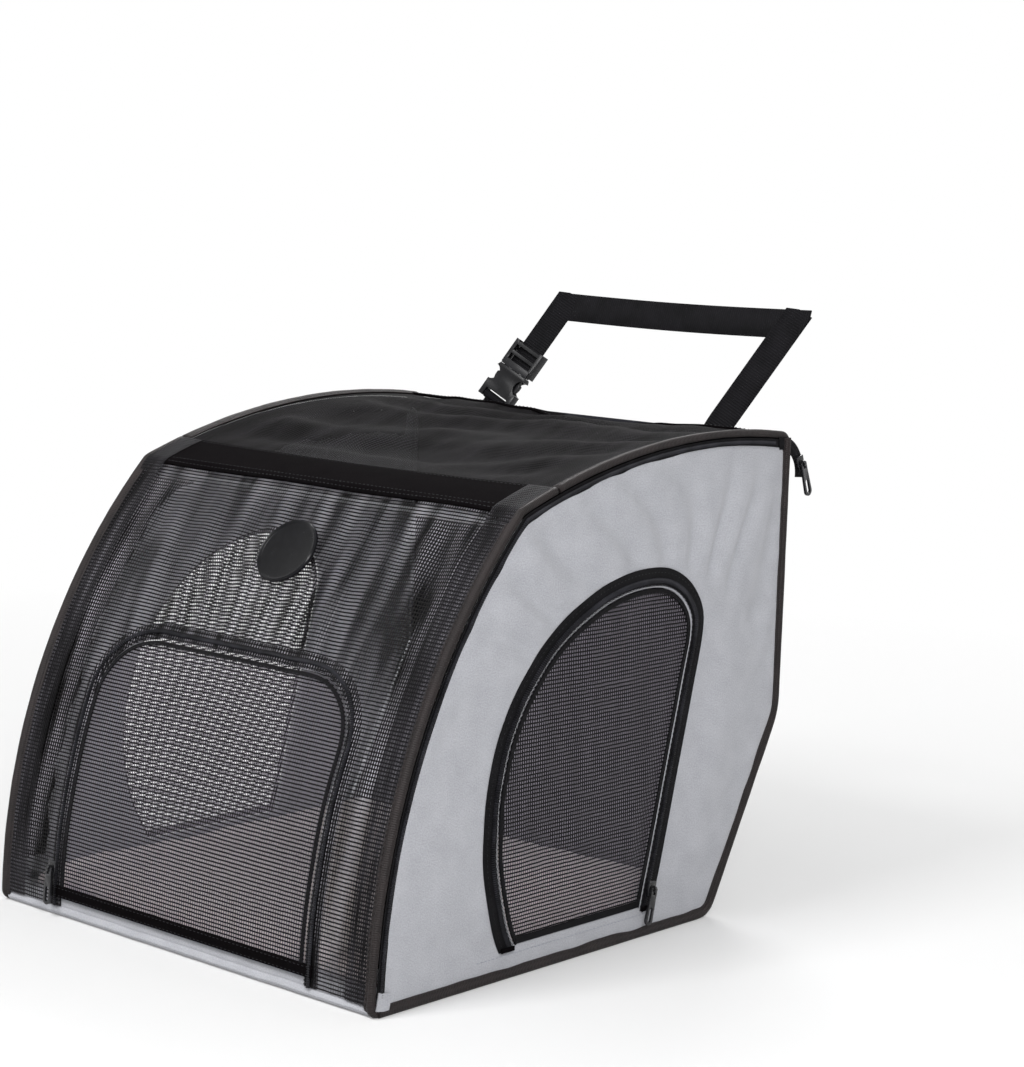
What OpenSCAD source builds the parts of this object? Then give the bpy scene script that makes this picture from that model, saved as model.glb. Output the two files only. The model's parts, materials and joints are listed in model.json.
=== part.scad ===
// Soft-sided pet carrier for a car seat: two flat side panels on wire hoops,
// joined by a curved mesh front, a cross band and a zipped mesh top.
// The origin is the middle of the base on the floor. The front faces -Y and +Z is up.

/* [Body] */
// Width over both side panels
body_w = 406; // [340:1:480]
// Depth of the base on the floor
base_d = 378; // [345:1:410]
// Depth at the rear top edge
total_d = 460; // [440:1:500]
// Height at which the slanted back turns upright
slant_h = 155; // [120:1:190]
// Height of the rear top edge
rear_h = 378; // [368:1:400]
// Height at which the curved front meets the top
kink_h = 341; // [325:1:350]
// Radius of the curved front
front_r = 485; // [465:1:540]
// Rise of the arched top above a straight line
top_rise = 20; // [12:1:26]
// Radius of the rear top corner
corner_r = 16; // [12:1:20]

/* [Panels] */
// Thickness of the base panel
base_t = 14; // [12:1:18]
// Thickness of the fleece floor pad
pad_t = 16; // [10:1:20]
// Thickness of the side and back panels
panel_t = 5; // [4:0.5:7]
// Thickness of the mesh
mesh_t = 1.2; // [0.8:0.1:1.6]
// Width of the cross band along the top
band_w = 40; // [30:1:55]
// Height of the hem under the front mesh
hem_h = 10; // [8:1:14]
// Depth of the hem behind the top mesh
rear_hem_w = 14; // [10:1:20]

/* [Edges] */
// Width of the binding on the mesh faces
binding_w = 12; // [10:1:14]
// Depth of the binding on the side faces
binding_d = 4; // [3:0.5:5]
// Width of the zip strip along the edges
edge_zip_w = 6; // [5:0.5:8]
// Width of the piping along the bottom and the rear
piping_w = 7; // [6:0.5:9]
// Thickness by which bindings and piping stand proud
proud = 1.5; // [1:0.1:1.6]

/* [Frame] */
// Radius of the spring steel hoops
rod_r = 2.5; // [2:0.1:3]
// Inset of the hoops from the outline
rod_inset = 13; // [12:0.5:15]
// Radius of the bar inside the cross band
bar_r = 4; // [3:0.1:5]

/* [Front door] */
// Width of the front door between its zips
door_w = 280; // [240:1:300]
// Height of the top of the front door
door_top = 225; // [200:1:235]
// Radius of the door's upper corners
door_r = 58; // [45:1:70]

/* [Side windows] */
// Radius of the big arc of the window
arch_r = 177; // [165:1:180]
// Distance of the arc's centre behind the front
arch_y = 281; // [276:1:288]
// Height of the arc's centre
arch_z = 111; // [105:1:116]
// Distance of the rear leg behind the front, at the floor
leg_y = 300; // [295:1:306]
// Slope of the rear leg, backwards per unit of height
leg_slope = 0.2435; // [0.2:0.005:0.26]
// Radius between the rear leg and the arc
arch_corner_r = 60; // [50:1:70]
// Height of the lower edge of the window
window_z = 24; // [22:1:32]

/* [Zips] */
// Width of each half of a zip tape
tape_w = 10; // [8:0.5:12]
// Thickness of a zip tape
tape_t = 1.2; // [0.8:0.1:1.4]
// Half the width of a zip's coil
coil_w = 2.5; // [2:0.1:3]
// Distance of the slit from the middle of the coil
slit = 6; // [5.8:0.1:6.6]
// Height of a zip coil on its tape
coil_t = 2; // [1.5:0.1:2.4]
// Radius of the loose tape end at each rear corner
tail_r = 26; // [22:1:30]
// Length of a slider's pull
pull_l = 28; // [22:1:30]

/* [Label] */
// Radius of the bare round label
label_r = 27; // [20:0.5:30]
// Height of the label's centre along the front
label_z = 293; // [270:1:300]
// Distance of the label from the middle plane
label_x = 8; // [-20:1:20]

/* [Headrest strap] */
// Width of the webbing
webbing_w = 25; // [20:1:28]
// Thickness of the webbing
webbing_t = 1.5; // [1.2:0.1:1.8]
// Distance of each strap from the middle plane
strap_x = 122; // [100:1:140]
// Length of each strap above the rear top edge
strap_l = 128; // [110:1:160]
// Backward lean of the straps, in degrees
strap_lean = 23; // [15:1:30]
// Sideways lean of the straps, in degrees
strap_side = 25; // [0:1:28]
// Distance of the buckle above the rear top edge
buckle_z = 12; // [9:1:18]

/* [Seat belt loops] */
// Length of each belt loop on the back
loop_l = 110; // [90:1:130]
// Height of the middle of the belt loops
loop_z = 245; // [225:1:260]
// Distance of each belt loop from the middle plane
loop_x = 75; // [50:1:95]
// Width of the belt loops
loop_w = 38; // [30:1:45]
// Room between a belt loop and the back
loop_gap = 14; // [10:1:20]

/* [Hidden] */
$fn = 96;
gap = 0.3;          // clearance between neighbours that part
seam = 0.25;        // half the slit between the two halves of a zip
far = 900;
overlap = 60;       // reach of the cutting shapes past the skins
half_w = body_w / 2;
panel_x = half_w - panel_t;
skin_x = half_w - binding_d - proud - gap;

function sq(v) = v * v;
function unit(v) = v / norm(v);
function polar(c, r, a) = c + r * [cos(a), sin(a)];

// Outline of a side: y runs back from the front edge of the base and z is the height.
front_c = [front_r, 0];
kink = [front_r - sqrt(sq(front_r) - sq(kink_h)), kink_h];
rear_top = [total_d, rear_h];
chord = norm(rear_top - kink);
top_r = (sq(chord) / 4 + sq(top_rise)) / (2 * top_rise);
top_n = [kink[1] - rear_top[1], rear_top[0] - kink[0]] / chord;
top_c = (kink + rear_top) / 2 - top_n * (top_r - top_rise);
slope = (total_d - base_d) / slant_h;
slant_k = sqrt(1 + sq(slope));

// Rear face at height z, d inside the outline.
function slant_y(z, d) = base_d + slope * z - d * slant_k;
function turn_z(d) = (total_d - d - base_d + d * slant_k) / slope;
// Height of the arched top at a distance y, d inside the outline.
function top_z(y, d) = top_c[1] + sqrt(sq(top_r - d) - sq(y - top_c[0]));
function front_y(z, d) = front_r - sqrt(sq(front_r - d) - sq(z));

// Where the front and top arcs cross, d inside the outline.
arcs_d = norm(top_c - front_c);
arcs_u = unit(top_c - front_c);
function cross_a(d) = (sq(front_r - d) - sq(top_r - d) + sq(arcs_d)) / (2 * arcs_d);
function cross_h(d) = sqrt(sq(front_r - d) - sq(cross_a(d)));
function kink_at(d) = front_c + cross_a(d) * arcs_u + cross_h(d) * [arcs_u[1], -arcs_u[0]];
mitre = unit(kink_at(rod_inset) - kink);

// The cross band ends and the top flap starts at these angles about the arc of the top.
kink_a = atan2(kink[1] - top_c[1], kink[0] - top_c[0]);
band_a = kink_a - band_w / top_r * 180 / PI;
flap_a = band_a - 2 * gap / top_r * 180 / PI;

panel_in = binding_d + edge_zip_w;   // inset of the grey panels at the front and top
hem_z = base_t + gap;
door_z = hem_z + hem_h;

// Points measured from the front edge of the base are moved to the part's origin.
module from_front() {
  translate([0, -base_d / 2, 0]) children();
}

// A shape drawn as (y, z), drawn out along X.
module across(x0, x1) {
  from_front() translate([x0, 0, 0]) rotate([90, 0, 90]) linear_extrude(x1 - x0) children();
}

// A shape drawn as (x, z), drawn out along Y through the front.
module through_front() {
  from_front() translate([0, kink[0] + overlap, 0]) rotate([90, 0, 0])
    linear_extrude(kink[0] + 2 * overlap) children();
}

module on_side(s) {
  mirror([s > 0 ? 0 : 1, 0, 0]) children();
}

module front_disc(d) {
  translate(front_c) circle(front_r - d);
}

module top_disc(d) {
  translate(top_c) circle(top_r - d);
}

module rear_area(d, b) {
  polygon([[-far, b], [slant_y(b, d), b], [total_d - d, turn_z(d)],
           [total_d - d, far], [-far, far]]);
}

// What the rounded rear top corner takes away, for a top t and a rear r inside the outline.
module corner_cut(t, r, round_r) {
  y = total_d - r - round_r;
  z = top_c[1] + sqrt(sq(top_r - t - round_r) - sq(y - top_c[0]));
  difference() {
    polygon([[y, z], [y + far, z], [y + far, far], [y, z] + far * unit([y, z] - top_c)]);
    translate([y, z]) circle(round_r);
  }
}

// Side outline, f, t, r and b inside at the front, top, rear and bottom.
module outline(f, t, r, b) {
  difference() {
    intersection() {
      front_disc(f);
      top_disc(t);
      rear_area(r, b);
    }
    corner_cut(t, r, corner_r - min(t, r));
  }
}

// Layers of the cover, from out above the mesh's face to in below it.
module front_strip(out, in, z0) {
  intersection() {
    difference() {
      front_disc(-out);
      front_disc(in);
    }
    polygon([kink - overlap * mitre, kink + overlap * mitre, [kink[0], z0],
             [-overlap, z0], [-overlap, kink_h]]);
  }
}

module band_strip(out, in) {
  intersection() {
    difference() {
      top_disc(-out);
      top_disc(in);
    }
    polygon([kink - overlap * mitre, polar(top_c, top_r + overlap, band_a),
             polar(top_c, top_r - overlap, band_a), kink + overlap * mitre]);
  }
}

module flap_strip(out, in, y1) {
  intersection() {
    difference() {
      top_disc(-out);
      top_disc(in);
    }
    polygon([polar(top_c, top_r + overlap, flap_a), [y1, rear_h + 2 * overlap],
             [y1, rear_h - overlap], polar(top_c, top_r - overlap, flap_a)]);
  }
}

// ---- Base and floor ----

sill_r = base_t / 2;

module base_panel() {
  color("lightsteelblue") across(-panel_x + gap, panel_x - gap) {
    intersection() {
      rear_area(panel_t + gap, 0);
      translate([sill_r, 0]) square([far, base_t]);
    }
    translate([sill_r, sill_r]) circle(sill_r);
  }
}

pad_x = half_w - panel_t - 2 * rod_r - 3;

module floor_pad() {
  color("rosybrown") across(-pad_x, pad_x)
    intersection() {
      outline(panel_in, panel_in, panel_in, hem_z);
      translate([0, 0]) square([far, hem_z + pad_t]);
    }
}

// ---- Side panels and their windows ----

leg_n = [cos(atan(leg_slope)), -sin(atan(leg_slope))];   // outward from the rear leg
arch_c = [arch_y, arch_z];

// Centre of the rounding between the big arc and the rear leg.
corner_base = [leg_y, 0] - arch_corner_r * leg_n;
corner_along = [-leg_n[1], leg_n[0]];
corner_off = corner_base - arch_c;
corner_b = corner_off * corner_along;
corner_c = corner_base + corner_along
  * (sqrt(sq(corner_b) - (corner_off * corner_off) + sq(arch_r - arch_corner_r)) - corner_b);

function leg_point(z, i) = [leg_y + leg_slope * z - i / leg_n[0], z];

// Window outline above z0, i inside the outer edge of its zip.
module window(i, z0) {
  difference() {
    intersection() {
      translate(arch_c) circle(arch_r - i);
      polygon([[-far, z0], leg_point(z0, i), leg_point(far, i), [-far, far]]);
    }
    difference() {
      polygon([corner_c, corner_c + far * leg_n, [far, far],
               corner_c + far * unit(corner_c - arch_c)]);
      translate(corner_c) circle(arch_corner_r - i);
    }
  }
}

// Band of the window's outline, from i0 to i1 inside it.
module window_band(i0, i1, z0) {
  difference() {
    window(i0, z0);
    window(i1, z0 - 1);
  }
}

module side_panel(s) {
  color("lightsteelblue") on_side(s) across(panel_x, half_w)
    difference() {
      outline(panel_in, panel_in, piping_w, piping_w);
      window(tape_w + slit - seam, window_z);
    }
}

module side_door(s) {
  color("dimgray") on_side(s) across(half_w - mesh_t, half_w)
    window(tape_w + slit + seam, window_z + gap);
}

module side_zip(s) {
  color("black") on_side(s) {
    across(half_w, half_w + tape_t) window_band(0, tape_w + slit - seam, window_z);
    across(half_w, half_w + tape_t + coil_t)
      window_band(tape_w - coil_w, tape_w + coil_w, window_z);
  }
}

module side_door_tape(s) {
  color("black") on_side(s) across(half_w, half_w + tape_t)
    window_band(tape_w + slit + seam, 2 * tape_w, window_z + gap);
}

// ---- Back ----

module back_panel() {
  color("slategray") across(-skin_x, skin_x)
    intersection() {
      top_disc(mesh_t + gap);
      difference() {
        rear_area(0, 0);
        rear_area(panel_t, -1);
      }
    }
}

loop_t = 1.6;

module belt_loop(s) {
  r = (sq(loop_l / 2) + sq(loop_gap)) / (2 * loop_gap);
  color("black") on_side(s) across(loop_x - loop_w / 2, loop_x + loop_w / 2)
    intersection() {
      translate([total_d + loop_gap - r, loop_z]) difference() {
        circle(r + loop_t);
        circle(r);
      }
      translate([total_d, 0]) square([far, far]);
    }
}

// ---- Cover: front mesh, cross band and top flap ----

// Front doorway, i inside the slit of its zip.
module doorway(i, z0) {
  w = door_w / 2 - i;
  r = door_r - i;
  top = door_top - i;
  translate([-w, z0]) square([2 * w, top - r - z0]);
  translate([r - w, z0]) square([2 * (w - r), top - z0]);
  for (s = [-1, 1]) translate([s * (w - r), top - r]) circle(r);
}

module front_mesh() {
  color("dimgray") difference() {
    across(-skin_x, skin_x) front_strip(0, mesh_t, door_z);
    through_front() doorway(slit - seam, 0);
  }
}

module front_hem() {
  color("black") across(-skin_x, skin_x)
    difference() {
      front_strip(0, 2 * mesh_t, hem_z);
      translate([-far, door_z - gap]) square(2 * far);
    }
}

module front_door() {
  color("dimgray") intersection() {
    across(-skin_x, skin_x) front_strip(0, mesh_t, door_z);
    through_front() doorway(slit + seam, 0);
  }
}

// Band of the doorway's outline, from i0 to i1 inside it, on the front's layer from low to high.
module doorway_band(i0, i1, low, high) {
  difference() {
    intersection() {
      across(-skin_x, skin_x) front_strip(high, -low, door_z);
      through_front() doorway(i0, 0);
    }
    through_front() doorway(i1, -1);
  }
}

module front_zip() {
  color("black") {
    doorway_band(-tape_w, slit - seam, 0, tape_t);
    doorway_band(-coil_w, coil_w, 0, tape_t + coil_t);
  }
}

module front_door_tape() {
  color("black") doorway_band(slit + seam, tape_w, 0, tape_t);
}

module cross_band() {
  color("black") across(binding_w - half_w + gap, half_w - binding_w - gap) {
    band_strip(proud, 0);
    front_strip(proud, 0, kink_h - 4);
  }
  color("black") across(-skin_x, skin_x) band_strip(0, mesh_t);
}

hem_y = total_d - rear_hem_w;

module top_mesh() {
  color("dimgray") across(-skin_x, skin_x) flap_strip(0, mesh_t, hem_y);
}

module rear_hem() {
  color("black") across(binding_w - half_w + gap, half_w - binding_w - gap)
    intersection() {
      difference() {
        top_disc(-proud);
        top_disc(mesh_t);
      }
      translate([hem_y, 0]) square([rear_hem_w, far]);
    }
}

// ---- Bindings, edge zips and piping ----

module front_binding(s) {
  color("black") on_side(s) {
    across(half_w - binding_w, half_w) {
      front_strip(proud, 0, hem_z);
      band_strip(proud, 0);
    }
    across(half_w - binding_d - proud, half_w) {
      front_strip(0, binding_d, hem_z);
      band_strip(0, binding_d);
    }
  }
}

module top_binding(s) {
  color("black") on_side(s) {
    across(half_w - binding_w, half_w) flap_strip(proud, 0, total_d);
    across(half_w - binding_d - proud, half_w) flap_strip(0, binding_d, total_d);
  }
}

tail_y = total_d - 12;
zip_in = binding_d + edge_zip_w / 2;
tail_c = [tail_y, top_z(tail_y, zip_in) - tail_r];
tail_end = -6;

// The zip strip follows the edge, and its loose end curls round the rear corner.
module edge_zip(s) {
  color("black") on_side(s) {
    across(half_w - panel_t / 2, half_w + 2 * gap)
      intersection() {
        difference() {
          outline(binding_d + gap, binding_d + gap, piping_w, hem_z);
          outline(panel_in, panel_in, 0, 0);
        }
        translate([-overlap, 0]) square([tail_y + tape_w / 2 + overlap, far]);
      }
    across(half_w + gap, half_w + gap + tape_t) translate(tail_c)
      intersection() {
        difference() {
          circle(tail_r + tape_w / 2);
          circle(tail_r - tape_w / 2);
        }
        polygon([[0, 0], far * [cos(tail_end), sin(tail_end)], [far, far], [0, far]]);
      }
  }
}

module piping(s) {
  color("saddlebrown") on_side(s) across(half_w - panel_t, half_w + 1)
    intersection() {
      difference() {
        outline(0, 0, 0, 0);
        outline(-1, -1, piping_w, piping_w);
      }
      polygon([[-1, 0], [far, 0], [far, rear_h - corner_r], [base_d - overlap, rear_h - corner_r],
               [base_d - overlap, piping_w], [-1, piping_w]]);
    }
}

// ---- Wire frame ----

rod_x = panel_x - gap - rod_r;
rod_z = base_t + gap + rod_r;
rod_y = total_d - rod_inset;
rod_front = [front_y(rod_z, rod_inset), rod_z];
rod_kink = kink_at(rod_inset);
rod_top = [rod_y, top_z(rod_y, rod_inset)];
rod_turn = [rod_y, turn_z(rod_inset)];
rod_rear = [slant_y(rod_z, rod_inset), rod_z];

function angle_of(p, c) = atan2(p[1] - c[1], p[0] - c[0]);

// Points along an arc, without its ends.
function arc_points(c, r, a0, a1, n) = [for (i = [1:n - 1]) polar(c, r, a0 + (a1 - a0) * i / n)];

// The wire's bend of radius r at p, between the directions u back along it and v on along it.
function bend(p, u, v, r) =
  let (half = acos(u * v) / 2,
       c = p + unit(u + v) * r / sin(half),
       a0 = angle_of(p + u * r / tan(half), c),
       a1 = angle_of(p + v * r / tan(half), c),
       sweep = (a1 - a0 + 540) % 360 - 180)
  [for (i = [0:4]) polar(c, r, a0 + sweep * i / 4)];

bend_r = 12;
front_points = arc_points(front_c, front_r - rod_inset, angle_of(rod_front, front_c),
                          angle_of(rod_kink, front_c), 10);
top_points = arc_points(top_c, top_r - rod_inset, angle_of(rod_kink, top_c),
                        angle_of(rod_top, top_c), 10);
hoop = concat(
  bend(rod_front, [1, 0], unit(front_points[0] - rod_front), bend_r), front_points, [rod_kink],
  top_points, bend(rod_top, unit(top_points[8] - rod_top), [0, -1], bend_r),
  bend(rod_turn, [0, 1], unit(rod_rear - rod_turn), bend_r),
  bend(rod_rear, unit(rod_turn - rod_rear), [-1, 0], bend_r));

// A wire of radius r along a closed loop of (y, z) points.
module wire_loop(points, r, sides) {
  n = len(points);
  rings = [for (i = [0:n - 1])
    let (along = unit(points[(i + 1) % n] - points[i]),
         back = unit(points[i] - points[(i + n - 1) % n]),
         out = unit([along[1] + back[1], -along[0] - back[0]]),
         reach = r / (out * [along[1], -along[0]]))
    for (k = [0:sides - 1])
      let (a = 360 * k / sides)
      [r * sin(a), points[i][0] + reach * cos(a) * out[0], points[i][1] + reach * cos(a) * out[1]]];
  faces = [for (i = [0:n - 1]) for (k = [0:sides - 1])
    let (j = (i + 1) % n, m = (k + 1) % sides)
    [i * sides + k, i * sides + m, j * sides + m, j * sides + k]];
  polyhedron(rings, faces, convexity = 4);
}

module frame_rod(s) {
  color("silver") on_side(s) from_front() translate([rod_x, 0, 0]) wire_loop(hoop, rod_r, 12);
}

module cross_bar() {
  bar_l = 2 * (rod_x - rod_r - gap);
  color("silver") from_front() translate([-bar_l / 2, rod_kink[0], rod_kink[1]])
    rotate([0, 90, 0]) cylinder(r = bar_r, h = bar_l);
}

// ---- Label ----

label_a = asin(label_z / front_r);

module label_disc() {
  color("black") from_front() translate([label_x, front_r, 0]) rotate([-label_a, 0, 0])
    translate([0, -front_r - gap, 0]) rotate([90, 0, 0]) difference() {
      cylinder(r = label_r, h = 3);
      translate([0, 0, 2]) cylinder(r = label_r - 2.5, h = 2);
    }
}

// ---- Sliders and pulls ----
// Each is drawn flat: the zip runs along Y, and Z points out of the cloth.

slider_l = 12;
slider_w = 8.4;
slider_t = 1.8;
bridge_w = 2;
eye_z = slider_t + 1.9;
eye_r = 1.2;
pin_r = 0.9;
pull_w = 8.4;
pull_t = 1.8;

module slider() {
  color("black") {
    linear_extrude(slider_t) polygon([[-slider_w / 2, slider_l / 2], [slider_w / 2, slider_l / 2],
      [slider_w / 2, 0], [slider_w / 3, -slider_l / 2], [-slider_w / 3, -slider_l / 2],
      [-slider_w / 2, 0]]);
    translate([-bridge_w / 2, 0, 0]) rotate([90, 0, 90]) linear_extrude(bridge_w)
      difference() {
        union() {
          translate([-2.6, slider_t - 0.2]) square([5.2, eye_z - slider_t + 0.2]);
          translate([0, eye_z]) circle(2.6);
        }
        translate([0, eye_z]) circle(eye_r);
      }
  }
}

module pull() {
  ring = 3.4;
  color("black") translate([0, 0, eye_z]) {
    rotate([0, 90, 0]) translate([0, 0, -ring]) cylinder(r = pin_r, h = 2 * ring);
    translate([0, 0, -pull_t / 2]) linear_extrude(pull_t) difference() {
      union() {
        translate([-ring, -7]) square([2 * ring, 7]);
        translate([0, pull_w / 2 - pull_l]) circle(pull_w / 2);
        polygon([[-ring, -6], [ring, -6], [pull_w / 2, pull_w / 2 - pull_l],
                 [-pull_w / 2, pull_w / 2 - pull_l]]);
      }
      translate([-bridge_w / 2 - 0.5, -4.2]) square([bridge_w + 1, 5]);
      translate([-1.9, pull_w / 2 - pull_l]) square([3.8, 8]);
      translate([0, pull_w / 2 - pull_l]) circle(1.9);
      translate([0, pull_w / 2 - pull_l + 8]) circle(1.9);
    }
  }
}

on_coil = tape_t + coil_t + gap;
slider_z = window_z + 14;
front_slider_a = asin(slider_z / front_r);

module at_front_zip() {
  from_front() translate([-door_w / 2, front_r, 0]) rotate([-front_slider_a, 0, 0])
    translate([0, -front_r - on_coil, 0]) rotate([90, 0, 0]) children();
}

module front_slider() {
  at_front_zip() slider();
}

module front_pull() {
  at_front_zip() pull();
}

module at_side_zip(s) {
  p = leg_point(slider_z, tape_w);
  on_side(s) from_front() translate([half_w + on_coil, p[0], p[1]])
    rotate([-atan(leg_slope), 0, 0]) rotate([90, 0, 90]) children();
}

module side_slider(s) {
  at_side_zip(s) slider();
}

module side_pull(s) {
  at_side_zip(s) pull();
}

corner_slider_a = 20;

module at_corner_zip(s) {
  p = polar(tail_c, tail_r, corner_slider_a);
  on_side(s) from_front() translate([half_w + 2 * gap + tape_t, p[0], p[1]])
    rotate([corner_slider_a, 0, 0]) rotate([90, 0, 90]) children();
}

module corner_slider(s) {
  at_corner_zip(s) slider();
}

module corner_pull(s) {
  at_corner_zip(s) pull();
}

// ---- Headrest strap and its side-release buckle ----
// Straps stand on the back, and turn back and sideways at the rear top edge.

patch_h = 40;
strap_foot = rear_h - 10;
strap_out = 1;       // step of the leaning part from the back

module at_strap(x) {
  from_front() translate([x, total_d + strap_out, strap_foot])
    rotate([-strap_lean, strap_side, 0]) children();
}

module strap_foot_piece(x) {
  from_front() translate([x - webbing_w / 2, total_d, strap_foot - patch_h])
    cube([webbing_w, webbing_t, patch_h + 2]);
}

module strap_patch(s) {
  from_front() translate([s * strap_x - 19, total_d + webbing_t, strap_foot - patch_h - 2])
    color("black") cube([38, 1.2, 30]);
}

buckle_w = webbing_w + 10;
buckle_t = 8;
socket_l = 32;
bar_z = 2.2;         // height of the socket's bar in the buckle
eye_out = 3.8;       // outer radius of the webbing round that bar
throat_x = buckle_w / 2 - 3;
prong_t = 3.6;
prong_l = 19;
shoulder_l = 6;
ladder_l = 19;
web_y = webbing_t / 2;
buckle_y = -eye_out + web_y;     // middle plane of the buckle, in front of the webbing

module at_buckle() {
  at_strap(-strap_x) translate([0, web_y, buckle_z]) children();
}

// A shape drawn as (x, z) in the buckle, t thick about its middle plane.
module buckle_plate(t) {
  translate([0, buckle_y + t / 2, 0]) rotate([90, 0, 0]) linear_extrude(t) children();
}

module buckle_strap() {
  color("black") {
    strap_foot_piece(-strap_x);
    at_buckle() {
      translate([-webbing_w / 2, -web_y, -buckle_z - 1])
        cube([webbing_w, webbing_t, buckle_z + bar_z - eye_out / 2]);
      translate([-webbing_w / 2, buckle_y, bar_z]) rotate([0, 90, 0]) difference() {
        cylinder(r = eye_out, h = webbing_w);
        translate([0, 0, -1]) cylinder(r = eye_out - webbing_t, h = webbing_w + 2);
      }
    }
  }
}

module socket_outline() {
  w = buckle_w / 2;
  difference() {
    polygon([[-w, -1], [w, -1], [w, socket_l - 4], [w - 2, socket_l], [2 - w, socket_l],
             [-w, socket_l - 4]]);
    translate([-webbing_w / 2 - gap, -2]) square([webbing_w + 2 * gap, bar_z + eye_out + 3]);
    for (x = [-w, w]) translate([x, socket_l - prong_l / 2 - 1]) circle(7);
  }
}

module buckle_socket() {
  color("black") at_buckle() {
    difference() {
      buckle_plate(buckle_t) socket_outline();
      buckle_plate(prong_t + 2 * gap) translate([-throat_x - gap, socket_l - prong_l - 2])
        square([2 * (throat_x + gap), prong_l + 3]);
    }
    translate([-webbing_w / 2 - 1, buckle_y, bar_z]) rotate([0, 90, 0])
      cylinder(r = eye_out - webbing_t - gap, h = webbing_w + 2);
  }
}

module prong() {
  x = throat_x;
  polygon([[x - 5.2, 1], [x - 2, 1], [x - 2, 1.5 - prong_l * 0.45], [x, 1 - prong_l * 0.5],
           [x, 1 - prong_l * 0.7], [x - 2, -prong_l], [x - 4.6, -prong_l], [x - 5.2, -prong_l * 0.7]]);
}

// The plug's middle is thinner than the socket, so that the webbing runs behind it.
module buckle_plug() {
  w = buckle_w / 2;
  front = buckle_y - buckle_t / 2;
  back = -web_y - gap;
  rail_back = web_y + 3;
  color("black") at_buckle() translate([0, 0, socket_l + gap]) {
    buckle_plate(prong_t) {
      prong();
      mirror([1, 0]) prong();
      translate([-3, 3 - prong_l]) square([6, prong_l]);
    }
    translate([2 - w, front, 0]) cube([2 * w - 4, back - front, shoulder_l]);
    for (s = [-1, 1]) translate([s * (w - 2.6) - 1.8, front + 1, 1])
      cube([3.6, rail_back - front - 1, shoulder_l + ladder_l - 1]);
    for (z = [shoulder_l + 7, shoulder_l + ladder_l - 3]) translate([2 - w, front + 1, z - 1.5])
      cube([2 * w - 4, back - front - 1, 3]);
    translate([2 - w, web_y + gap + 1.2, shoulder_l + 11.5]) rotate([0, 90, 0])
      cylinder(r = 1.2, h = 2 * w - 4);
  }
}

strap_dir = [cos(strap_lean) * sin(strap_side), sin(strap_lean), cos(strap_lean) * cos(strap_side)];

// The loop goes up from the buckle, across behind the headrest's posts and down on the right.
module headrest_strap() {
  left_z = buckle_z + socket_l + 1;
  cross = (strap_l - webbing_w / 2) * strap_dir;
  color("black") {
    strap_foot_piece(strap_x);
    at_strap(strap_x) translate([-webbing_w / 2, 0, -1]) cube([webbing_w, webbing_t, strap_l + 1]);
    at_strap(-strap_x) translate([-webbing_w / 2, 0, left_z])
      cube([webbing_w, webbing_t, strap_l - left_z]);
    from_front() translate([cross[0], total_d + strap_out + cross[1], strap_foot + cross[2]])
      rotate([-strap_lean, 0, 0])
      translate([-strap_x, 0, -webbing_w / 2]) cube([2 * strap_x, webbing_t, webbing_w]);
  }
}

base_panel();
floor_pad();
side_panel(1);  // side_panel_right
side_panel(-1);  // side_panel_left
back_panel();
front_mesh();
front_hem();
cross_band();
top_mesh();
rear_hem();
front_binding(1);  // front_binding_right
front_binding(-1);  // front_binding_left
top_binding(1);  // top_binding_right
top_binding(-1);  // top_binding_left
edge_zip(1);  // edge_zip_right
edge_zip(-1);  // edge_zip_left
piping(1);  // piping_right
piping(-1);  // piping_left
frame_rod(1);  // frame_rod_right
frame_rod(-1);  // frame_rod_left
cross_bar();
front_door();
front_zip();
front_door_tape();
side_door(1);  // side_door_right
side_door(-1);  // side_door_left
side_zip(1);  // side_zip_right
side_zip(-1);  // side_zip_left
side_door_tape(1);  // side_door_tape_right
side_door_tape(-1);  // side_door_tape_left
label_disc();
front_slider();
front_pull();
side_slider(1);  // side_slider_right
side_slider(-1);  // side_slider_left
side_pull(1);  // side_pull_right
side_pull(-1);  // side_pull_left
corner_slider(1);  // corner_slider_right
corner_slider(-1);  // corner_slider_left
corner_pull(1);  // corner_pull_right
corner_pull(-1);  // corner_pull_left
buckle_strap();
buckle_socket();
buckle_plug();
headrest_strap();
strap_patch(1);  // strap_patch_right
strap_patch(-1);  // strap_patch_left
belt_loop(1);  // belt_loop_right
belt_loop(-1);  // belt_loop_left
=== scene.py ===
# %% [markdown]
# # A soft pet carrier for a car seat
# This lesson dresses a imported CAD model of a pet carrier. The carrier stands on a car seat and is a soft box:
# two padded canvas sides on wire hoops, a curved mesh front, a cross band and a zipped mesh top.
# The CAD model fixes where everything is. Blender adds what cloth does: it sags, puckers and shows its weave.

# %% Load the CAD frame
import bpy
import bmesh
import json
import math
from mathutils import Matrix, Vector, noise


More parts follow.
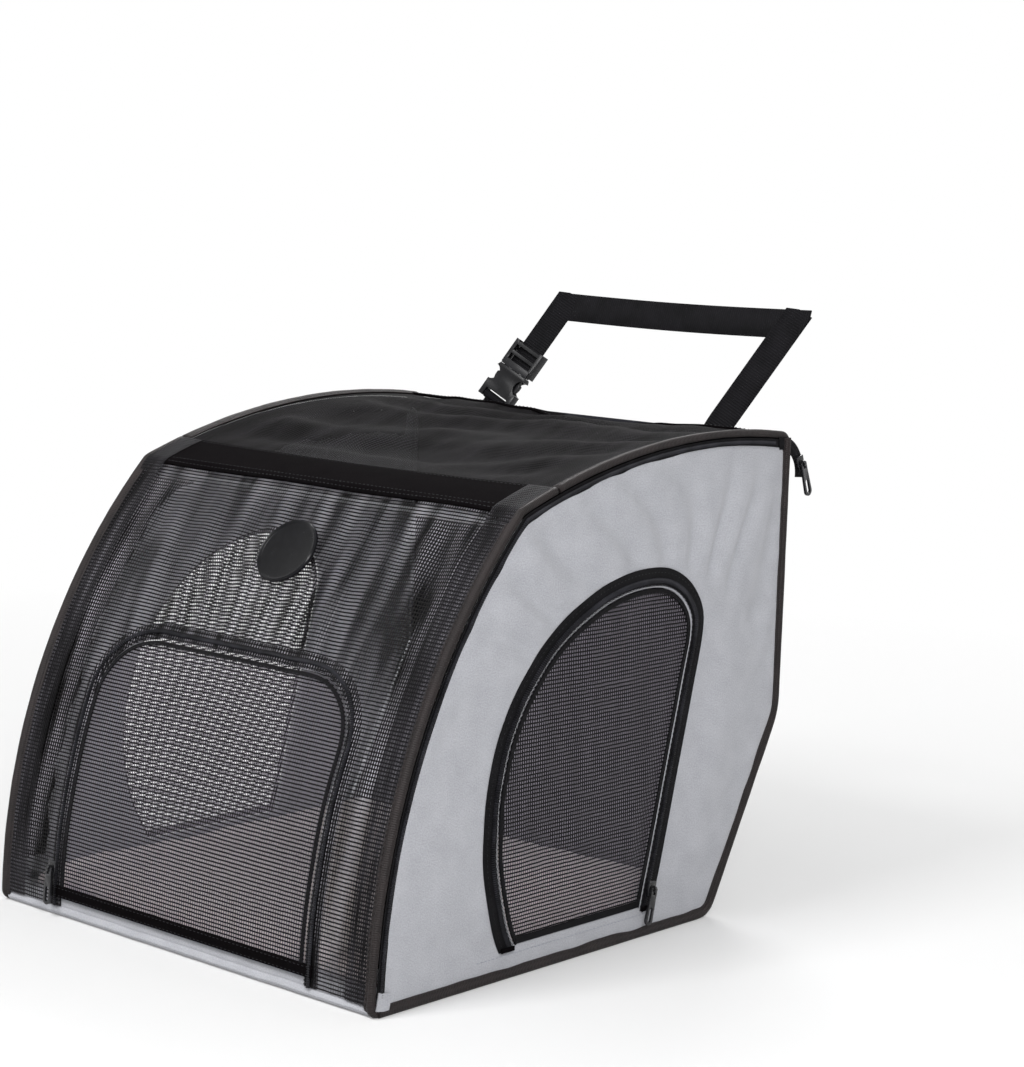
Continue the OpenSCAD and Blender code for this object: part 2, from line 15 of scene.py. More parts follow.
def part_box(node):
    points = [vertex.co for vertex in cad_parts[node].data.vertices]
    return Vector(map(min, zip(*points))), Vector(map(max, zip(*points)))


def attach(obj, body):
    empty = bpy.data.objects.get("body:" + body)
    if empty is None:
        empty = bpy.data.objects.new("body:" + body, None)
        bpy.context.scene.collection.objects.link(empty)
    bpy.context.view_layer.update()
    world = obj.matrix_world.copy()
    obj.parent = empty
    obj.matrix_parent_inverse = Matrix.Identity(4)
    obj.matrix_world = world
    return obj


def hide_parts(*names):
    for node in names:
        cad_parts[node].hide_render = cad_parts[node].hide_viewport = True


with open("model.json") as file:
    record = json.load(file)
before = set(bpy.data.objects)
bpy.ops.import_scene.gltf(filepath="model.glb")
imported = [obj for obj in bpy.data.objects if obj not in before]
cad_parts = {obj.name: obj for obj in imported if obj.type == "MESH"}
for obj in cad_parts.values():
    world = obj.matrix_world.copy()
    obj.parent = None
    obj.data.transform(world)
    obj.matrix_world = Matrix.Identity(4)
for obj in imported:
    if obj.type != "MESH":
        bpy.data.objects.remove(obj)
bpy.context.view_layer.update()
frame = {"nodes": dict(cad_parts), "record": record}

# %% [markdown]
# ## The camera
# A long lens looks down a little on the carrier's front right corner. Its place is fixed before any modelling,
# so that every later choice is judged from the same spot. The camera is also rolled by almost two degrees.

# %% Camera
AZIMUTH, ELEVATION, ROLL = math.radians(41.32), math.radians(7.876), math.radians(1.827)
STAND = (1.41777, -1.44165, 0.58103)
LENS_MM, SENSOR_MM = 88.88, 36

eye = Vector((math.sin(AZIMUTH) * math.cos(ELEVATION), -math.cos(AZIMUTH) * math.cos(ELEVATION),
              math.sin(ELEVATION)))
level = Vector((0, 0, 1)).cross(eye).normalized()
upright = eye.cross(level)
right = level * math.cos(ROLL) + upright * math.sin(ROLL)
up = upright * math.cos(ROLL) - level * math.sin(ROLL)

camera = bpy.data.objects.new("camera", bpy.data.cameras.new("camera"))
bpy.context.scene.collection.objects.link(camera)
camera.data.lens, camera.data.sensor_width = LENS_MM, SENSOR_MM
camera.data.clip_start, camera.data.clip_end = 0.05, 50
camera.matrix_world = Matrix((right, up, eye)).transposed().to_4x4()
camera.location = STAND
bpy.context.scene.camera = camera
print("camera stands", round(camera.location.length, 2), "m from the carrier")

# %% [markdown]
# ## Small tools
# These are used all through the lesson. They turn a colour as a painter writes it (hex, sRGB) into the linear
# numbers that a shader wants, add shader nodes with their settings and links, and spin a profile to a surface.

# %% Colour and node tools
MM = 0.001
X, Y, Z = Vector((1, 0, 0)), Vector((0, 1, 0)), Vector((0, 0, 1))
EAST, NORTH, WEST, SOUTH = Vector((1, 0)), Vector((0, 1)), Vector((-1, 0)), Vector((0, -1))   # on flat cloth


def paint(hex_colour):
    """A linear RGBA colour from an sRGB hex value."""
    channels = [int(hex_colour[i:i + 2], 16) / 255 for i in (0, 2, 4)]
    return (*[c / 12.92 if c <= 0.04045 else ((c + 0.055) / 1.055) ** 2.4 for c in channels], 1)


def add(tree, kind, inputs=None, **settings):
    """Adds a shader node. Inputs are values, or sockets of other nodes to link."""
    made = tree.nodes.new("ShaderNode" + kind)
    for key, value in settings.items():
        setattr(made, key, value)
    for key, value in (inputs or {}).items():
        if isinstance(value, bpy.types.NodeSocket):
            tree.links.new(value, made.inputs[key])
        else:
            made.inputs[key].default_value = value
    return made


def maths(tree, operation, *values, **settings):
    """The outcome of a Math node."""
    return add(tree, "Math", dict(enumerate(values)), operation=operation, **settings).outputs[0]


def new_material(name):
    """An empty node material, and its output node."""
    material = bpy.data.materials.new(name)
    material.use_nodes = True
    material.node_tree.nodes.clear()
    return material, material.node_tree, add(material.node_tree, "OutputMaterial")


def seen_plainly(tree):
    """1 for rays from the camera, in gloss and through glass, and 0 for the rays that light things."""
    kinds = add(tree, "LightPath").outputs
    seen = maths(tree, "MAXIMUM", kinds["Is Camera Ray"], kinds["Is Glossy Ray"])
    return maths(tree, "MAXIMUM", seen, kinds["Is Transmission Ray"])


def spun(profile):
    """A surface spun round the z axis from points (radius, height)."""
    shape = bmesh.new()
    line = [shape.verts.new((radius, 0, height)) for radius, height in profile]
    chain = [shape.edges.new(pair) for pair in zip(line, line[1:])]
    bmesh.ops.spin(shape, geom=line + chain, cent=(0, 0, 0), axis=Z, angle=2 * math.pi, steps=96,
                   use_merge=True)
    bmesh.ops.remove_doubles(shape, verts=shape.verts, dist=1e-6)
    bmesh.ops.recalc_face_normals(shape, faces=shape.faces)
    return shape


print("mid grey b0b4be is", [round(c, 3) for c in paint("b0b4be")[:3]], "in linear light")

# %% [markdown]
# ## The stage
# A plain pale floor curves up into a backdrop. Cloth needs soft light from the side to show its folds, so the
# key lamp stands right of the camera. A second lamp above the front lights the mesh, and one from behind draws
# a bright line along the bindings and zips.

# %% Floor and lamps
FLOOR_R, BEND_R, WALL_TOP = 2.4, 1.8, 5.5      # the flat floor, the bend into the backdrop, and its top
bend = [math.radians(angle) for angle in range(5, 91, 5)]
bowl = spun([(0, 0), (FLOOR_R, 0)]
            + [(FLOOR_R + BEND_R * math.sin(a), BEND_R * (1 - math.cos(a))) for a in bend]
            + [(FLOOR_R + BEND_R, WALL_TOP)])
middle_face = min(bowl.faces, key=lambda f: f.calc_center_median().length)
if middle_face.normal.z < 0:
    bmesh.ops.reverse_faces(bowl, faces=bowl.faces[:])
for face in bowl.faces:
    face.smooth = True
floor = bpy.data.objects.new("studio_floor", bpy.data.meshes.new("studio_floor"))
bowl.to_mesh(floor.data)
bowl.free()
bpy.context.scene.collection.objects.link(floor)
# Matt paper, almost white. To the camera, in gloss and through glass it is mixed with plain white: a little
# near the carrier, so that its shadow stays, and wholly far away, as a lit backdrop burns out.
material, tree, output = new_material("matt_studio_paper")
paper = add(tree, "BsdfDiffuse", {"Color": paint("dedede")})
white = add(tree, "Emission", {"Color": (1, 1, 1, 1), "Strength": 1.0})
spot = add(tree, "VectorMath", {0: add(tree, "NewGeometry").outputs["Position"]}, operation="LENGTH")
whiter = add(tree, "MapRange", {"Value": spot.outputs["Value"], "From Min": 0.4, "From Max": 1.6,
                                "To Min": 0.2, "To Max": 1.0})
share = maths(tree, "MULTIPLY", seen_plainly(tree), whiter.outputs[0])
mixed = add(tree, "MixShader", {"Fac": share, 1: paper.outputs[0], 2: white.outputs[0]})
tree.links.new(mixed.outputs[0], output.inputs["Surface"])
floor.data.materials.append(material)

world = bpy.data.worlds.new("studio_air")
world.use_nodes = True
tree = world.node_tree
level_of = add(tree, "MapRange", {"Value": seen_plainly(tree), "To Min": 0.55, "To Max": 0.97})
tree.nodes["Background"].inputs["Color"].default_value = (1, 1, 1, 1)
tree.links.new(level_of.outputs[0], tree.nodes["Background"].inputs["Strength"])
bpy.context.scene.world = world


def lamp(name, place, size, power, aim=(0, 0.05, 0.2)):
    """A square soft lamp that looks at a point."""
    light = bpy.data.lights.new(name, "AREA")
    light.size, light.energy = size, power
    holder = bpy.data.objects.new(name, light)
    bpy.context.scene.collection.objects.link(holder)
    holder.location = place
    holder.rotation_euler = (Vector(aim) - Vector(place)).to_track_quat("-Z", "Y").to_euler()


lamp("key_lamp", (1.9, -1.3, 1.5), 0.8, 43)
lamp("front_lamp", (-0.2, -1.5, 1.9), 0.7, 34)
lamp("rim_lamp", (-0.9, 1.7, 1.9), 0.8, 26)
scene = bpy.context.scene
scene.view_settings.view_transform = "Standard"

# %% [markdown]
# ## Sizes that the cloth follows
# The carrier's side is bounded by two arcs and three straight lines: the curved front, the arched top, the
# upright rear edge, the slanted back and the floor. Cloth pieces are laid on these, so the arcs are written
# once here, in metres, in the same frame as the CAD model.

# %% Arcs of the side
HALF = 0.203                       # half the width over both sides
FRONT_Y = -0.189                   # front edge of the base
REAR_Y = 0.271                     # upright rear edge
REAR_Z = 0.378                     # height of the rear top edge
BASE_REAR = 0.189                  # rear edge of the base
SLANT_Z = 0.155                    # height at which the slanted back turns upright
FRONT_R = 0.485
KINK_Z = 0.341                     # height at which the front meets the top
TOP_RISE = 0.020

front_c = Vector((FRONT_Y + FRONT_R, 0))
kink = Vector((front_c.x - math.sqrt(FRONT_R ** 2 - KINK_Z ** 2), KINK_Z))
rear_top = Vector((REAR_Y, REAR_Z))
chord = (rear_top - kink).length
TOP_R = (chord ** 2 / 4 + TOP_RISE ** 2) / (2 * TOP_RISE)
across_chord = Vector((kink.y - rear_top.y, rear_top.x - kink.x)) / chord
top_c = (kink + rear_top) / 2 - across_chord * (TOP_R - TOP_RISE)


def angle_at(centre, point):
    return math.atan2(point.y - centre.y, point.x - centre.x)


KINK_S = FRONT_R * (math.pi - angle_at(front_c, kink))
TOP_START = angle_at(top_c, kink)
EDGE_S = KINK_S + TOP_R * (TOP_START - angle_at(top_c, rear_top))


def edge(s):
    """Point (y, z) and outward direction on the cover, s metres up from the floor along it."""
    if s < KINK_S:
        angle, centre, radius = math.pi - s / FRONT_R, front_c, FRONT_R
    else:
        angle, centre, radius = TOP_START - (s - KINK_S) / TOP_R, top_c, TOP_R
    outward = Vector((math.cos(angle), math.sin(angle)))
    fold = 0.006                   # the cloth turns over the crease within a few millimetres
    if abs(s - KINK_S) < fold:
        before = Vector((math.cos(math.pi - KINK_S / FRONT_R), math.sin(math.pi - KINK_S / FRONT_R)))
        after = Vector((math.cos(TOP_START), math.sin(TOP_START)))
        outward = before.lerp(after, (s - KINK_S + fold) / (2 * fold)).normalized()
    return centre + radius * Vector((math.cos(angle), math.sin(angle))), outward


print(f"the cover is {EDGE_S * 1000:.0f} mm long from floor to rear, its crease at {KINK_S * 1000:.0f} mm")

# %% [markdown]
# ## Outlines, rings and strips
# Almost every piece of this carrier is flat cloth cut to an outline of arcs and straight lines: a panel with a
# window, a door, a tape that runs round the window. An outline is therefore written as a list of discs, walls
# and rounded corners, and a ray from its middle tells how far away its edge is. A circle's vertices slide out
# along their own rays until they lie on the outline, so a ring between two outlines needs no list of faces.

# %% Outline tools
def ray_to_disc(origin, way, centre, radius):
    out = origin - centre
    along = out.dot(way)
    return math.sqrt(max(along ** 2 - out.length_squared + radius ** 2, 0)) - along


def reach(outline, origin, way):
    """How far the outline is from origin along a direction, and which of its parts is there."""
    far, part = 9, None
    for number, (kind, spot, value, *_) in enumerate(outline):
        if kind == "disc":
            distance = ray_to_disc(origin, way, spot, value)
        elif kind == "wall" and way.dot(value) > 1e-6:
            distance = (spot - origin).dot(value) / way.dot(value)
        else:
            continue
        if distance < far:
            far, part = distance, number
    for kind, spot, radius, *sector in outline:
        if kind == "round":
            out = origin + way * far - spot
            if sector[0].cross(out) > 0 and out.cross(sector[1]) > 0:
                return ray_to_disc(origin, way, spot, radius), None
    return far, part


def turn(angle):
    return Vector((math.cos(angle), math.sin(angle)))


HALVINGS = 30                      # steps of the search for a corner


def outline_loop(outline, origin, count):
    """Points on the outline, with one moved onto each of its sharp corners."""
    angles = [2 * math.pi * i / count for i in range(count)]
    parts = [reach(outline, origin, turn(angle))[1] for angle in angles]
    for i in range(count):
        low, high = angles[i], angles[i] + 2 * math.pi / count
        first, last = parts[i], parts[(i + 1) % count]
        if None in (first, last) or first == last:
            continue
        for _ in range(HALVINGS):
            middle = (low + high) / 2
            if reach(outline, origin, turn(middle))[1] == first:
                low = middle
            else:
                high = middle
        angles[i if low - 2 * math.pi * i / count < math.pi / count else (i + 1) % count] = low
    return [origin + turn(angle) * reach(outline, origin, turn(angle))[0] for angle in angles]


def ring(outer, inner, origin, count, cuts):
    """A flat ring between two outlines, or a disc of cloth where inner is None."""
    cloth = bmesh.new()
    loops = [outline_loop(outer, origin, count)]
    loops.append([origin + (point - origin) * 0.04 for point in loops[0]] if inner is None
                 else outline_loop(inner, origin, count))
    for points in loops:
        for vertex, point in zip(bmesh.ops.create_circle(cloth, segments=count, radius=1)["verts"], points):
            vertex.co = (*point, 0)
    first = set(cloth.verts[:count])
    bmesh.ops.bridge_loops(cloth, edges=cloth.edges[:])
    spokes = [e for e in cloth.edges if (e.verts[0] in first) != (e.verts[1] in first)]
    if inner is None:
        cloth.verts.ensure_lookup_table()
        bmesh.ops.pointmerge(cloth, verts=cloth.verts[count:2 * count], merge_co=(*origin, 0))
        spokes = [e for e in cloth.edges if (e.verts[0] in first) != (e.verts[1] in first)]
    bmesh.ops.subdivide_edges(cloth, edges=spokes, cuts=cuts)
    bmesh.ops.remove_doubles(cloth, verts=cloth.verts, dist=1e-6)
    bmesh.ops.recalc_face_normals(cloth, faces=cloth.faces)
    if sum(f.normal.z for f in cloth.faces) < 0:
        bmesh.ops.reverse_faces(cloth, faces=cloth.faces)
    return cloth


def flat_map(cloth):
    """Writes the flat place of each point, in metres, to the cloth's own UV map."""
    layer = cloth.loops.layers.uv.verify()
    for face in cloth.faces:
        for loop in face.loops:
            loop[layer].uv = loop.vert.co.xy


def swept(section, path):
    """A closed section drawn along a path. A stop on the path is (origin, side, outward, size)."""
    strip = bmesh.new()
    columns, rows = len(section), len(path) - 1
    bmesh.ops.create_grid(strip, x_segments=columns, y_segments=rows, size=0.5)
    closed = list(section) + [section[0]]
    girth = [0.0]
    for (a, b), (c, d) in zip(closed, closed[1:]):
        girth.append(girth[-1] + math.hypot(c - a, d - b))
    run = [0.0]
    for before, after in zip(path, path[1:]):
        run.append(run[-1] + (after[0] - before[0]).length)
    layer = strip.loops.layers.uv.verify()
    spots = {v: (round((v.co.x + 0.5) * columns), round((v.co.y + 0.5) * rows)) for v in strip.verts}
    for face in strip.faces:
        for loop in face.loops:
            i, j = spots[loop.vert]
            loop[layer].uv = (run[j], girth[i])
    for vertex, (i, j) in spots.items():
        origin, side, outward, size = path[j]
        a, b = closed[i]
        vertex.co = origin + (side * a + outward * b) * size
    bmesh.ops.remove_doubles(strip, verts=strip.verts, dist=1e-7)
    bmesh.ops.holes_fill(strip, edges=[e for e in strip.edges if e.is_boundary], sides=0)
    bmesh.ops.recalc_face_normals(strip, faces=strip.faces)
    return strip


def trimmed(shape, spot, away):
    """Cuts a closed shape off at a plane through spot, on the side that away points to, and closes the cut."""
    cut = bmesh.ops.bisect_plane(shape, geom=shape.verts[:] + shape.edges[:] + shape.faces[:], plane_co=spot,
                                 plane_no=away, clear_outer=True)
    rim = [g for g in cut["geom_cut"] if isinstance(g, bmesh.types.BMEdge)]
    bmesh.ops.holes_fill(shape, edges=rim, sides=0)
    return shape


def joined(parts):
    """Several bmeshes as one."""
    whole = bmesh.new()
    for part in parts:
        passing = bpy.data.meshes.new("passing")
        part.to_mesh(passing)
        part.free()
        whole.from_mesh(passing)
        bpy.data.meshes.remove(passing)
    return whole


def make(name, shape, body, finish, stands_for=(), sharp=40):
    """Makes an object of a bmesh, with its finish, its body and the CAD nodes that it stands for."""
    made = bpy.data.objects.new(name, bpy.data.meshes.new(name))
    shape.to_mesh(made.data)
    shape.free()
    bpy.context.scene.collection.objects.link(made)
    made.data.materials.append(finish)
    made.data.polygons.foreach_set("use_smooth", [True] * len(made.data.polygons))
    if sharp:
        made.data.set_sharp_from_angle(angle=math.radians(sharp))
    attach(made, body)
    if stands_for:
        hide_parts(*stands_for)
    print(f"{name}: {len(made.data.polygons)} faces on {body}")
    return made


def resampled(points, step):
    """The same line with stops at even distances."""
    run = [0.0]
    for before, after in zip(points, points[1:]):
        run.append(run[-1] + (after - before).length)
    count = max(2, round(run[-1] / step))
    even, k = [], 0
    for i in range(count + 1):
        target = run[-1] * i / count
        while k < len(run) - 2 and run[k + 1] < target:
            k += 1
        share = (target - run[k]) / max(run[k + 1] - run[k], 1e-9)
        even.append(points[k].lerp(points[k + 1], min(share, 1)))
    return even


# %% [markdown]
# ## Where the cloth lies
# A flat point is turned into a place in space by a *ground*: the two side planes, and the cover, whose flat
# coordinates are the distance across and the distance up along the arcs. Each ground also says which way is
# out, so a tape can lie on the cloth and follow its gentle waves.

# %% Grounds and their waves
def smooth(low, high, value):
    share = min(max((value - low) / (high - low), 0), 1)
    return share * share * (3 - 2 * share)


def wave(x, y, size, seed):
    """Soft noise from -1 to 1 whose hills are about size metres wide."""
    return noise.noise(Vector((x / size, y / size, seed)))


WINDOW_C = Vector((FRONT_Y + 0.281, 0.111))      # centre of the window's big arc
WINDOW_R = 0.177
slant_way = Vector((REAR_Y - BASE_REAR, SLANT_Z)).normalized()
SLANT_OUT = Vector((slant_way.y, -slant_way.x))
SLIDER_SPOT = Vector((0.120, 0.045))             # the side zips' sliders rest here
SLIDER_RUN = Vector((0.2366, 0.9716))            # the way they go up the straight part of the zip
SLIDER_WAY = 0.165                               # and how far


def side_depth(y, z):
    """How far a point of the side is from the side's outline."""
    spot = Vector((y, z))
    return min(FRONT_R - (spot - front_c).length, TOP_R - (spot - top_c).length, REAR_Y - y, z,
               (Vector((BASE_REAR, 0)) - spot).dot(SLANT_OUT))


def side_wave(y, z, side):
    """How far a side panel stands out. It is padded, so it rolls over at its edges and swells between them,
    and it puckers above the window, where the zip draws it in."""
    depth_in = side_depth(y, z)
    swell = 0.0020 * smooth(0.004, 0.015, depth_in) + 0.0018 * smooth(0.01, 0.07, depth_in)
    off = Vector((y, z)) - WINDOW_C
    from_arch = off.length - WINDOW_R
    lean = off.angle_signed(NORTH) - 2.2 * from_arch
    spokes = math.sin(lean * 30 + 6 * wave(y, z, 0.13, 2 + side))
    spokes = 1 - 2 * (0.5 - 0.5 * spokes) ** 1.7
    pucker = 0.0034 * spokes * smooth(-0.004, 0.014, from_arch) * (1 - smooth(0.04, 0.13, from_arch))
    pucker *= 0.65 + 0.35 * smooth(-0.25, 0.35, wave(y, z, 0.085, 15 + side))
    pucker *= smooth(0.15, 0.25, z + 0.25 * y)
    dimples = 0.0022 * wave(y, z, 0.075, 5 * side) + 0.0009 * wave(y, z, 0.03, 9 * side)
    bulge = swell + (pucker + dimples * smooth(0.02, 0.08, z)) * smooth(0.006, 0.03, depth_in)
    bulge *= 0.25 + 0.75 * smooth(0.024, 0.06, z)      # flat where the window folds down
    from_slider = Vector((y, z)) - SLIDER_SPOT
    from_slider -= SLIDER_RUN * max(0.0, min(SLIDER_WAY, from_slider.dot(SLIDER_RUN)))
    return bulge * (1 - 0.85 * (1 - smooth(0.012, 0.045, from_slider.length))) - 0.0004


LABEL_SPOT = Vector((0.008, FRONT_R * math.asin(0.293 / FRONT_R)))
COVER_HALF = HALF - 0.010          # half the width of the free net between its bindings


def cover_wave(x, s):
    """How far the mesh cover stands out from its arcs: the front hangs in upright folds under the cross band
    and is a little hollow on both sides of the door; the top sags in long folds between its bindings."""
    from_side = COVER_HALF - abs(x)
    if s < KINK_S:
        near_band = smooth(0.15, 0.34, s) * smooth(0.006, 0.05, KINK_S - s)
        ripples = math.sin(x * 190 + 5 * wave(x, s, 0.16, 3)) * (0.25 + 0.75 * abs(wave(x, s, 0.10, 8)))
        ripples *= smooth(0.02, 0.05, (Vector((x, s)) - LABEL_SPOT).length)
        hollow = -0.003 * smooth(0.0, 0.10, from_side) * smooth(0.04, 0.2, s) * smooth(0, 0.05, KINK_S - s)
        dimples = 0.0016 * wave(x, s, 0.09, 1) * smooth(0.06, 0.15, s)
        return (0.0032 * ripples * near_band + hollow + dimples) * smooth(0.0, 0.03, from_side)
    t = (s - KINK_S) / (EDGE_S - KINK_S)
    across = max(0, 1 - (x / COVER_HALF) ** 2)
    sag = -0.013 * across * (0.45 + 0.55 * math.sin(math.pi * min(t * 1.15, 1)))
    sag *= smooth(0.06, 0.30, t) * 0.9 + 0.1 * smooth(0.0, 0.1, t)
    folds = 0.0030 * math.sin((s - KINK_S) * 95 - x * 17 + 5 * wave(x, s, 0.17, 6))
    folds += 0.0035 * wave(x, s, 0.06, 4) + 0.0012 * wave(x, s, 0.022, 14)
    return sag + folds * smooth(0.0, 0.05, from_side) * smooth(0.12, 0.3, t)


def side_ground(side, waves=True):
    """The ground of a side plane, with the panel's waves or without them."""
    def ground(point, lift=0.0):
        out = X * side
        raised = lift + (side_wave(*point, side) if waves else 0)
        return Vector((side * HALF, *point)) + out * raised, Y, Z, out
    return ground


def cover_ground(point, lift=0.0):
    flat, outward = edge(point[1])
    out = Vector((0, *outward))
    along = Vector((0, outward.y, -outward.x))
    return (Vector((point[0], *flat)) + out * (cover_wave(*point) + lift), X, along, out)


def lay(cloth, ground, lift=0.0):
    """Moves flat cloth onto a ground. Its flat place stays in its UV map."""
    flat_map(cloth)
    for vertex in cloth.verts:
        vertex.co = ground(vertex.co.xy, lift)[0]
    bmesh.ops.recalc_face_normals(cloth, faces=cloth.faces)
    sample = max(cloth.faces, key=lambda f: f.calc_area())
    flat_middle = Vector([sum(loop[cloth.loops.layers.uv.verify()].uv[k] for loop in sample.loops)
                          / len(sample.loops) for k in (0, 1)])
    if sample.normal.dot(ground(flat_middle)[3]) < 0:
        bmesh.ops.reverse_faces(cloth, faces=cloth.faces)
    return cloth


def stops(points, ground, lift=0.0, sizes=(1.0,)):
    """Stops for swept() along a flat line on a ground. The side direction points to the line's right."""
    found = []
    for i, point in enumerate(points):
        way = (points[min(i + 1, len(points) - 1)] - points[max(i - 1, 0)]).normalized()
        origin, first, second, out = ground(point, lift)
        found.append((origin, first * way.y - second * way.x, out, sizes[i % len(sizes)]))
    return found


print(f"the top mesh sags {-cover_wave(0, KINK_S + 0.17) * 1000:.0f} mm in its middle")

# %% [markdown]
# ## Finishes
# Each finish starts from the real material. The cloths read the piece's own UV map, which holds real lengths,
# so a weave follows the cloth round every curve. The hard parts read Object coordinates.

# %% Padded canvas
def woven(tree, place, pitch_u, pitch_v):
    """Two crossing sets of threads on a UV map in metres: their height, from 0 to 1, and each set alone."""
    split = add(tree, "SeparateXYZ", {0: place})
    sets = []
    for axis, pitch in (("X", pitch_u), ("Y", pitch_v)):
        count = maths(tree, "MULTIPLY", split.outputs[axis], 2 / pitch)
        sets.append(maths(tree, "PINGPONG", count, 1.0))
    return maths(tree, "MAXIMUM", *sets), *sets


def stretched(tree, value, from_low, from_high, low=0.0, high=1.0):
    """A value carried from one range to another, and held inside it."""
    return add(tree, "MapRange", {"Value": value, "From Min": from_low, "From Max": from_high,
                                  "To Min": low, "To Max": high}).outputs[0]


def speckled(tree, place, scale, detail=2.0, **inputs):
    """Noise from 0 to 1."""
    return add(tree, "TexNoise", {"Vector": place, "Scale": scale, "Detail": detail, **inputs}).outputs["Fac"]


def mottled(tree, place, size, low, high):
    """Soft colour variation with patches of about size metres."""
    return stretched(tree, speckled(tree, place, 1 / size, 3.0), 0.3, 0.7, low, high)


def between(tree, share, hex_low, hex_high):
    """The colour at a share, from 0 to 1, of the way between two colours."""
    return add(tree, "Mix", {"Factor": share, 6: paint(hex_low), 7: paint(hex_high)},
               data_type="RGBA").outputs[2]


def surfaced(parts, bump, inputs):
    """Ends a new material with its surface. bump is a height socket, a strength and a depth in metres."""
    material, tree, output = parts
    height, strength, depth = bump
    raised = add(tree, "Bump", {"Strength": strength, "Distance": depth, "Height": height})
    surface = add(tree, "BsdfPrincipled", {"Normal": raised.outputs[0], **inputs})
    tree.links.new(surface.outputs[0], output.inputs["Surface"])
    return material


def canvas_finish(name, hex_light, hex_dark, pitch=0.0011, sheen=0.15, shine=0.25):
    # 600-denier polyester canvas, plain woven and padded with foam. The threads are 0.5 mm apart; here they
    # are drawn about 1 mm apart so that they show. Dull, with a faint sheen where it turns away.
    parts = new_material(name)
    tree = parts[1]
    place = add(tree, "UVMap").outputs["UV"]
    height = woven(tree, place, pitch, pitch)[0]
    patches = mottled(tree, place, 0.02, 0.4, 0.6)
    tone = maths(tree, "MULTIPLY_ADD", speckled(tree, place, 900), 1.2, patches)
    shade = stretched(tree, maths(tree, "MULTIPLY_ADD", height, 0.22, tone), 0.75, 1.65)
    return surfaced(parts, (height, 0.35, 0.0004), {
        "Base Color": between(tree, shade, hex_dark, hex_light), "Roughness": 0.85, "Sheen Weight": sheen,
        "Sheen Roughness": 0.5, "Specular IOR Level": shine})


grey_canvas = canvas_finish("grey_polyester_canvas", "b4b5ba", "8d8e94")
black_cloth = canvas_finish("black_polyester_cloth", "0e0c0d", "050405", 0.0014, 0.0, 0.012)
lining = canvas_finish("dark_grey_lining", "2c2c31", "1b1b1f", 0.0014, 0.0, 0.06)
print("canvas threads drawn 1.1 mm apart")

# %% [markdown]
# The mesh is a knitted polyester net. Its holes are real holes here: the threads are opaque and the rest of
# the sheet is not there at all (alpha 0), so the inside shows through and light falls through it.

# %% Knitted mesh
def mesh_finish(name, hex_thread, hex_painted_glint, pitch_u, pitch_v, thread_u, thread_v, shine=0.2,
                roughness=0.4, glint_evenness=0.0):
    # Knitted polyester net: stout cross rows 3 mm apart and finer threads between them. The real holes are
    # under 2 mm wide. Black, slightly shiny where the round threads catch the light.
    parts = new_material(name)
    tree = parts[1]
    place = add(tree, "UVMap").outputs["UV"]
    wobble = add(tree, "TexNoise", {"Vector": place, "Scale": 120, "Detail": 2.0})
    shift = add(tree, "VectorMath", {0: wobble.outputs["Color"], 1: (0.0007, 0.0007, 0)}, operation="MULTIPLY")
    moved = add(tree, "VectorMath", {0: place, 1: shift.outputs[0]}, operation="ADD")
    height, fine, stout = woven(tree, moved.outputs[0], pitch_u, pitch_v)
    covers = [stretched(tree, profile, 1 - width - 0.06, 1 - width + 0.06)
              for profile, width in ((fine, thread_u), (stout, thread_v))]
    # Painted highlight: where the net is bunched into an upright fold, the fine threads between the black rows
    # get a lighter colour, in streaks drawn from noise.
    drawn = add(tree, "VectorMath", {0: place, 1: (75, 9, 0)}, operation="MULTIPLY")
    glint_streak = stretched(tree, speckled(tree, drawn.outputs[0], 1.0, 3.0), 0.38, 0.78, glint_evenness)
    light = maths(tree, "MULTIPLY", glint_streak, maths(tree, "SUBTRACT", *covers, use_clamp=True))
    return surfaced(parts, (height, 0.8, 0.0005), {
        "Base Color": between(tree, light, hex_thread, hex_painted_glint), "Roughness": roughness,
        "Alpha": maths(tree, "MAXIMUM", *covers), "Specular IOR Level": shine})


# The front net's fine threads get a bright painted highlight in streaks.
black_mesh = mesh_finish("black_knitted_mesh", "0b0a0b", "c2bfc8", 0.0024, 0.0029, 0.36, 0.42, 0.08)
# The doors' net is cut from the same cloth but lies flat, so its painted highlight on the fine threads is
# nearly even all over.
door_mesh = mesh_finish("black_door_mesh", "0b0a0b", "807b84", 0.0024, 0.0029, 0.46, 0.42, 0.08, glint_evenness=0.75)
# The top is the same net pulled narrow, so its holes are smaller.
# Its painted highlight on the fine threads is dim.
drawn_mesh = mesh_finish("black_drawn_mesh", "0a090a", "3c393e", 0.0016, 0.0023, 0.60, 0.66, 0.05, 0.7)
# Along the bindings the net is gathered: its upright threads lie close together, with a painted highlight on
# them.
gathered_mesh = mesh_finish("black_gathered_mesh", "0e0d0f", "4c4a4f", 0.0019, 0.0029, 0.66, 0.40, 0.06)
print("mesh holes are 1.5 x 1.7 mm")

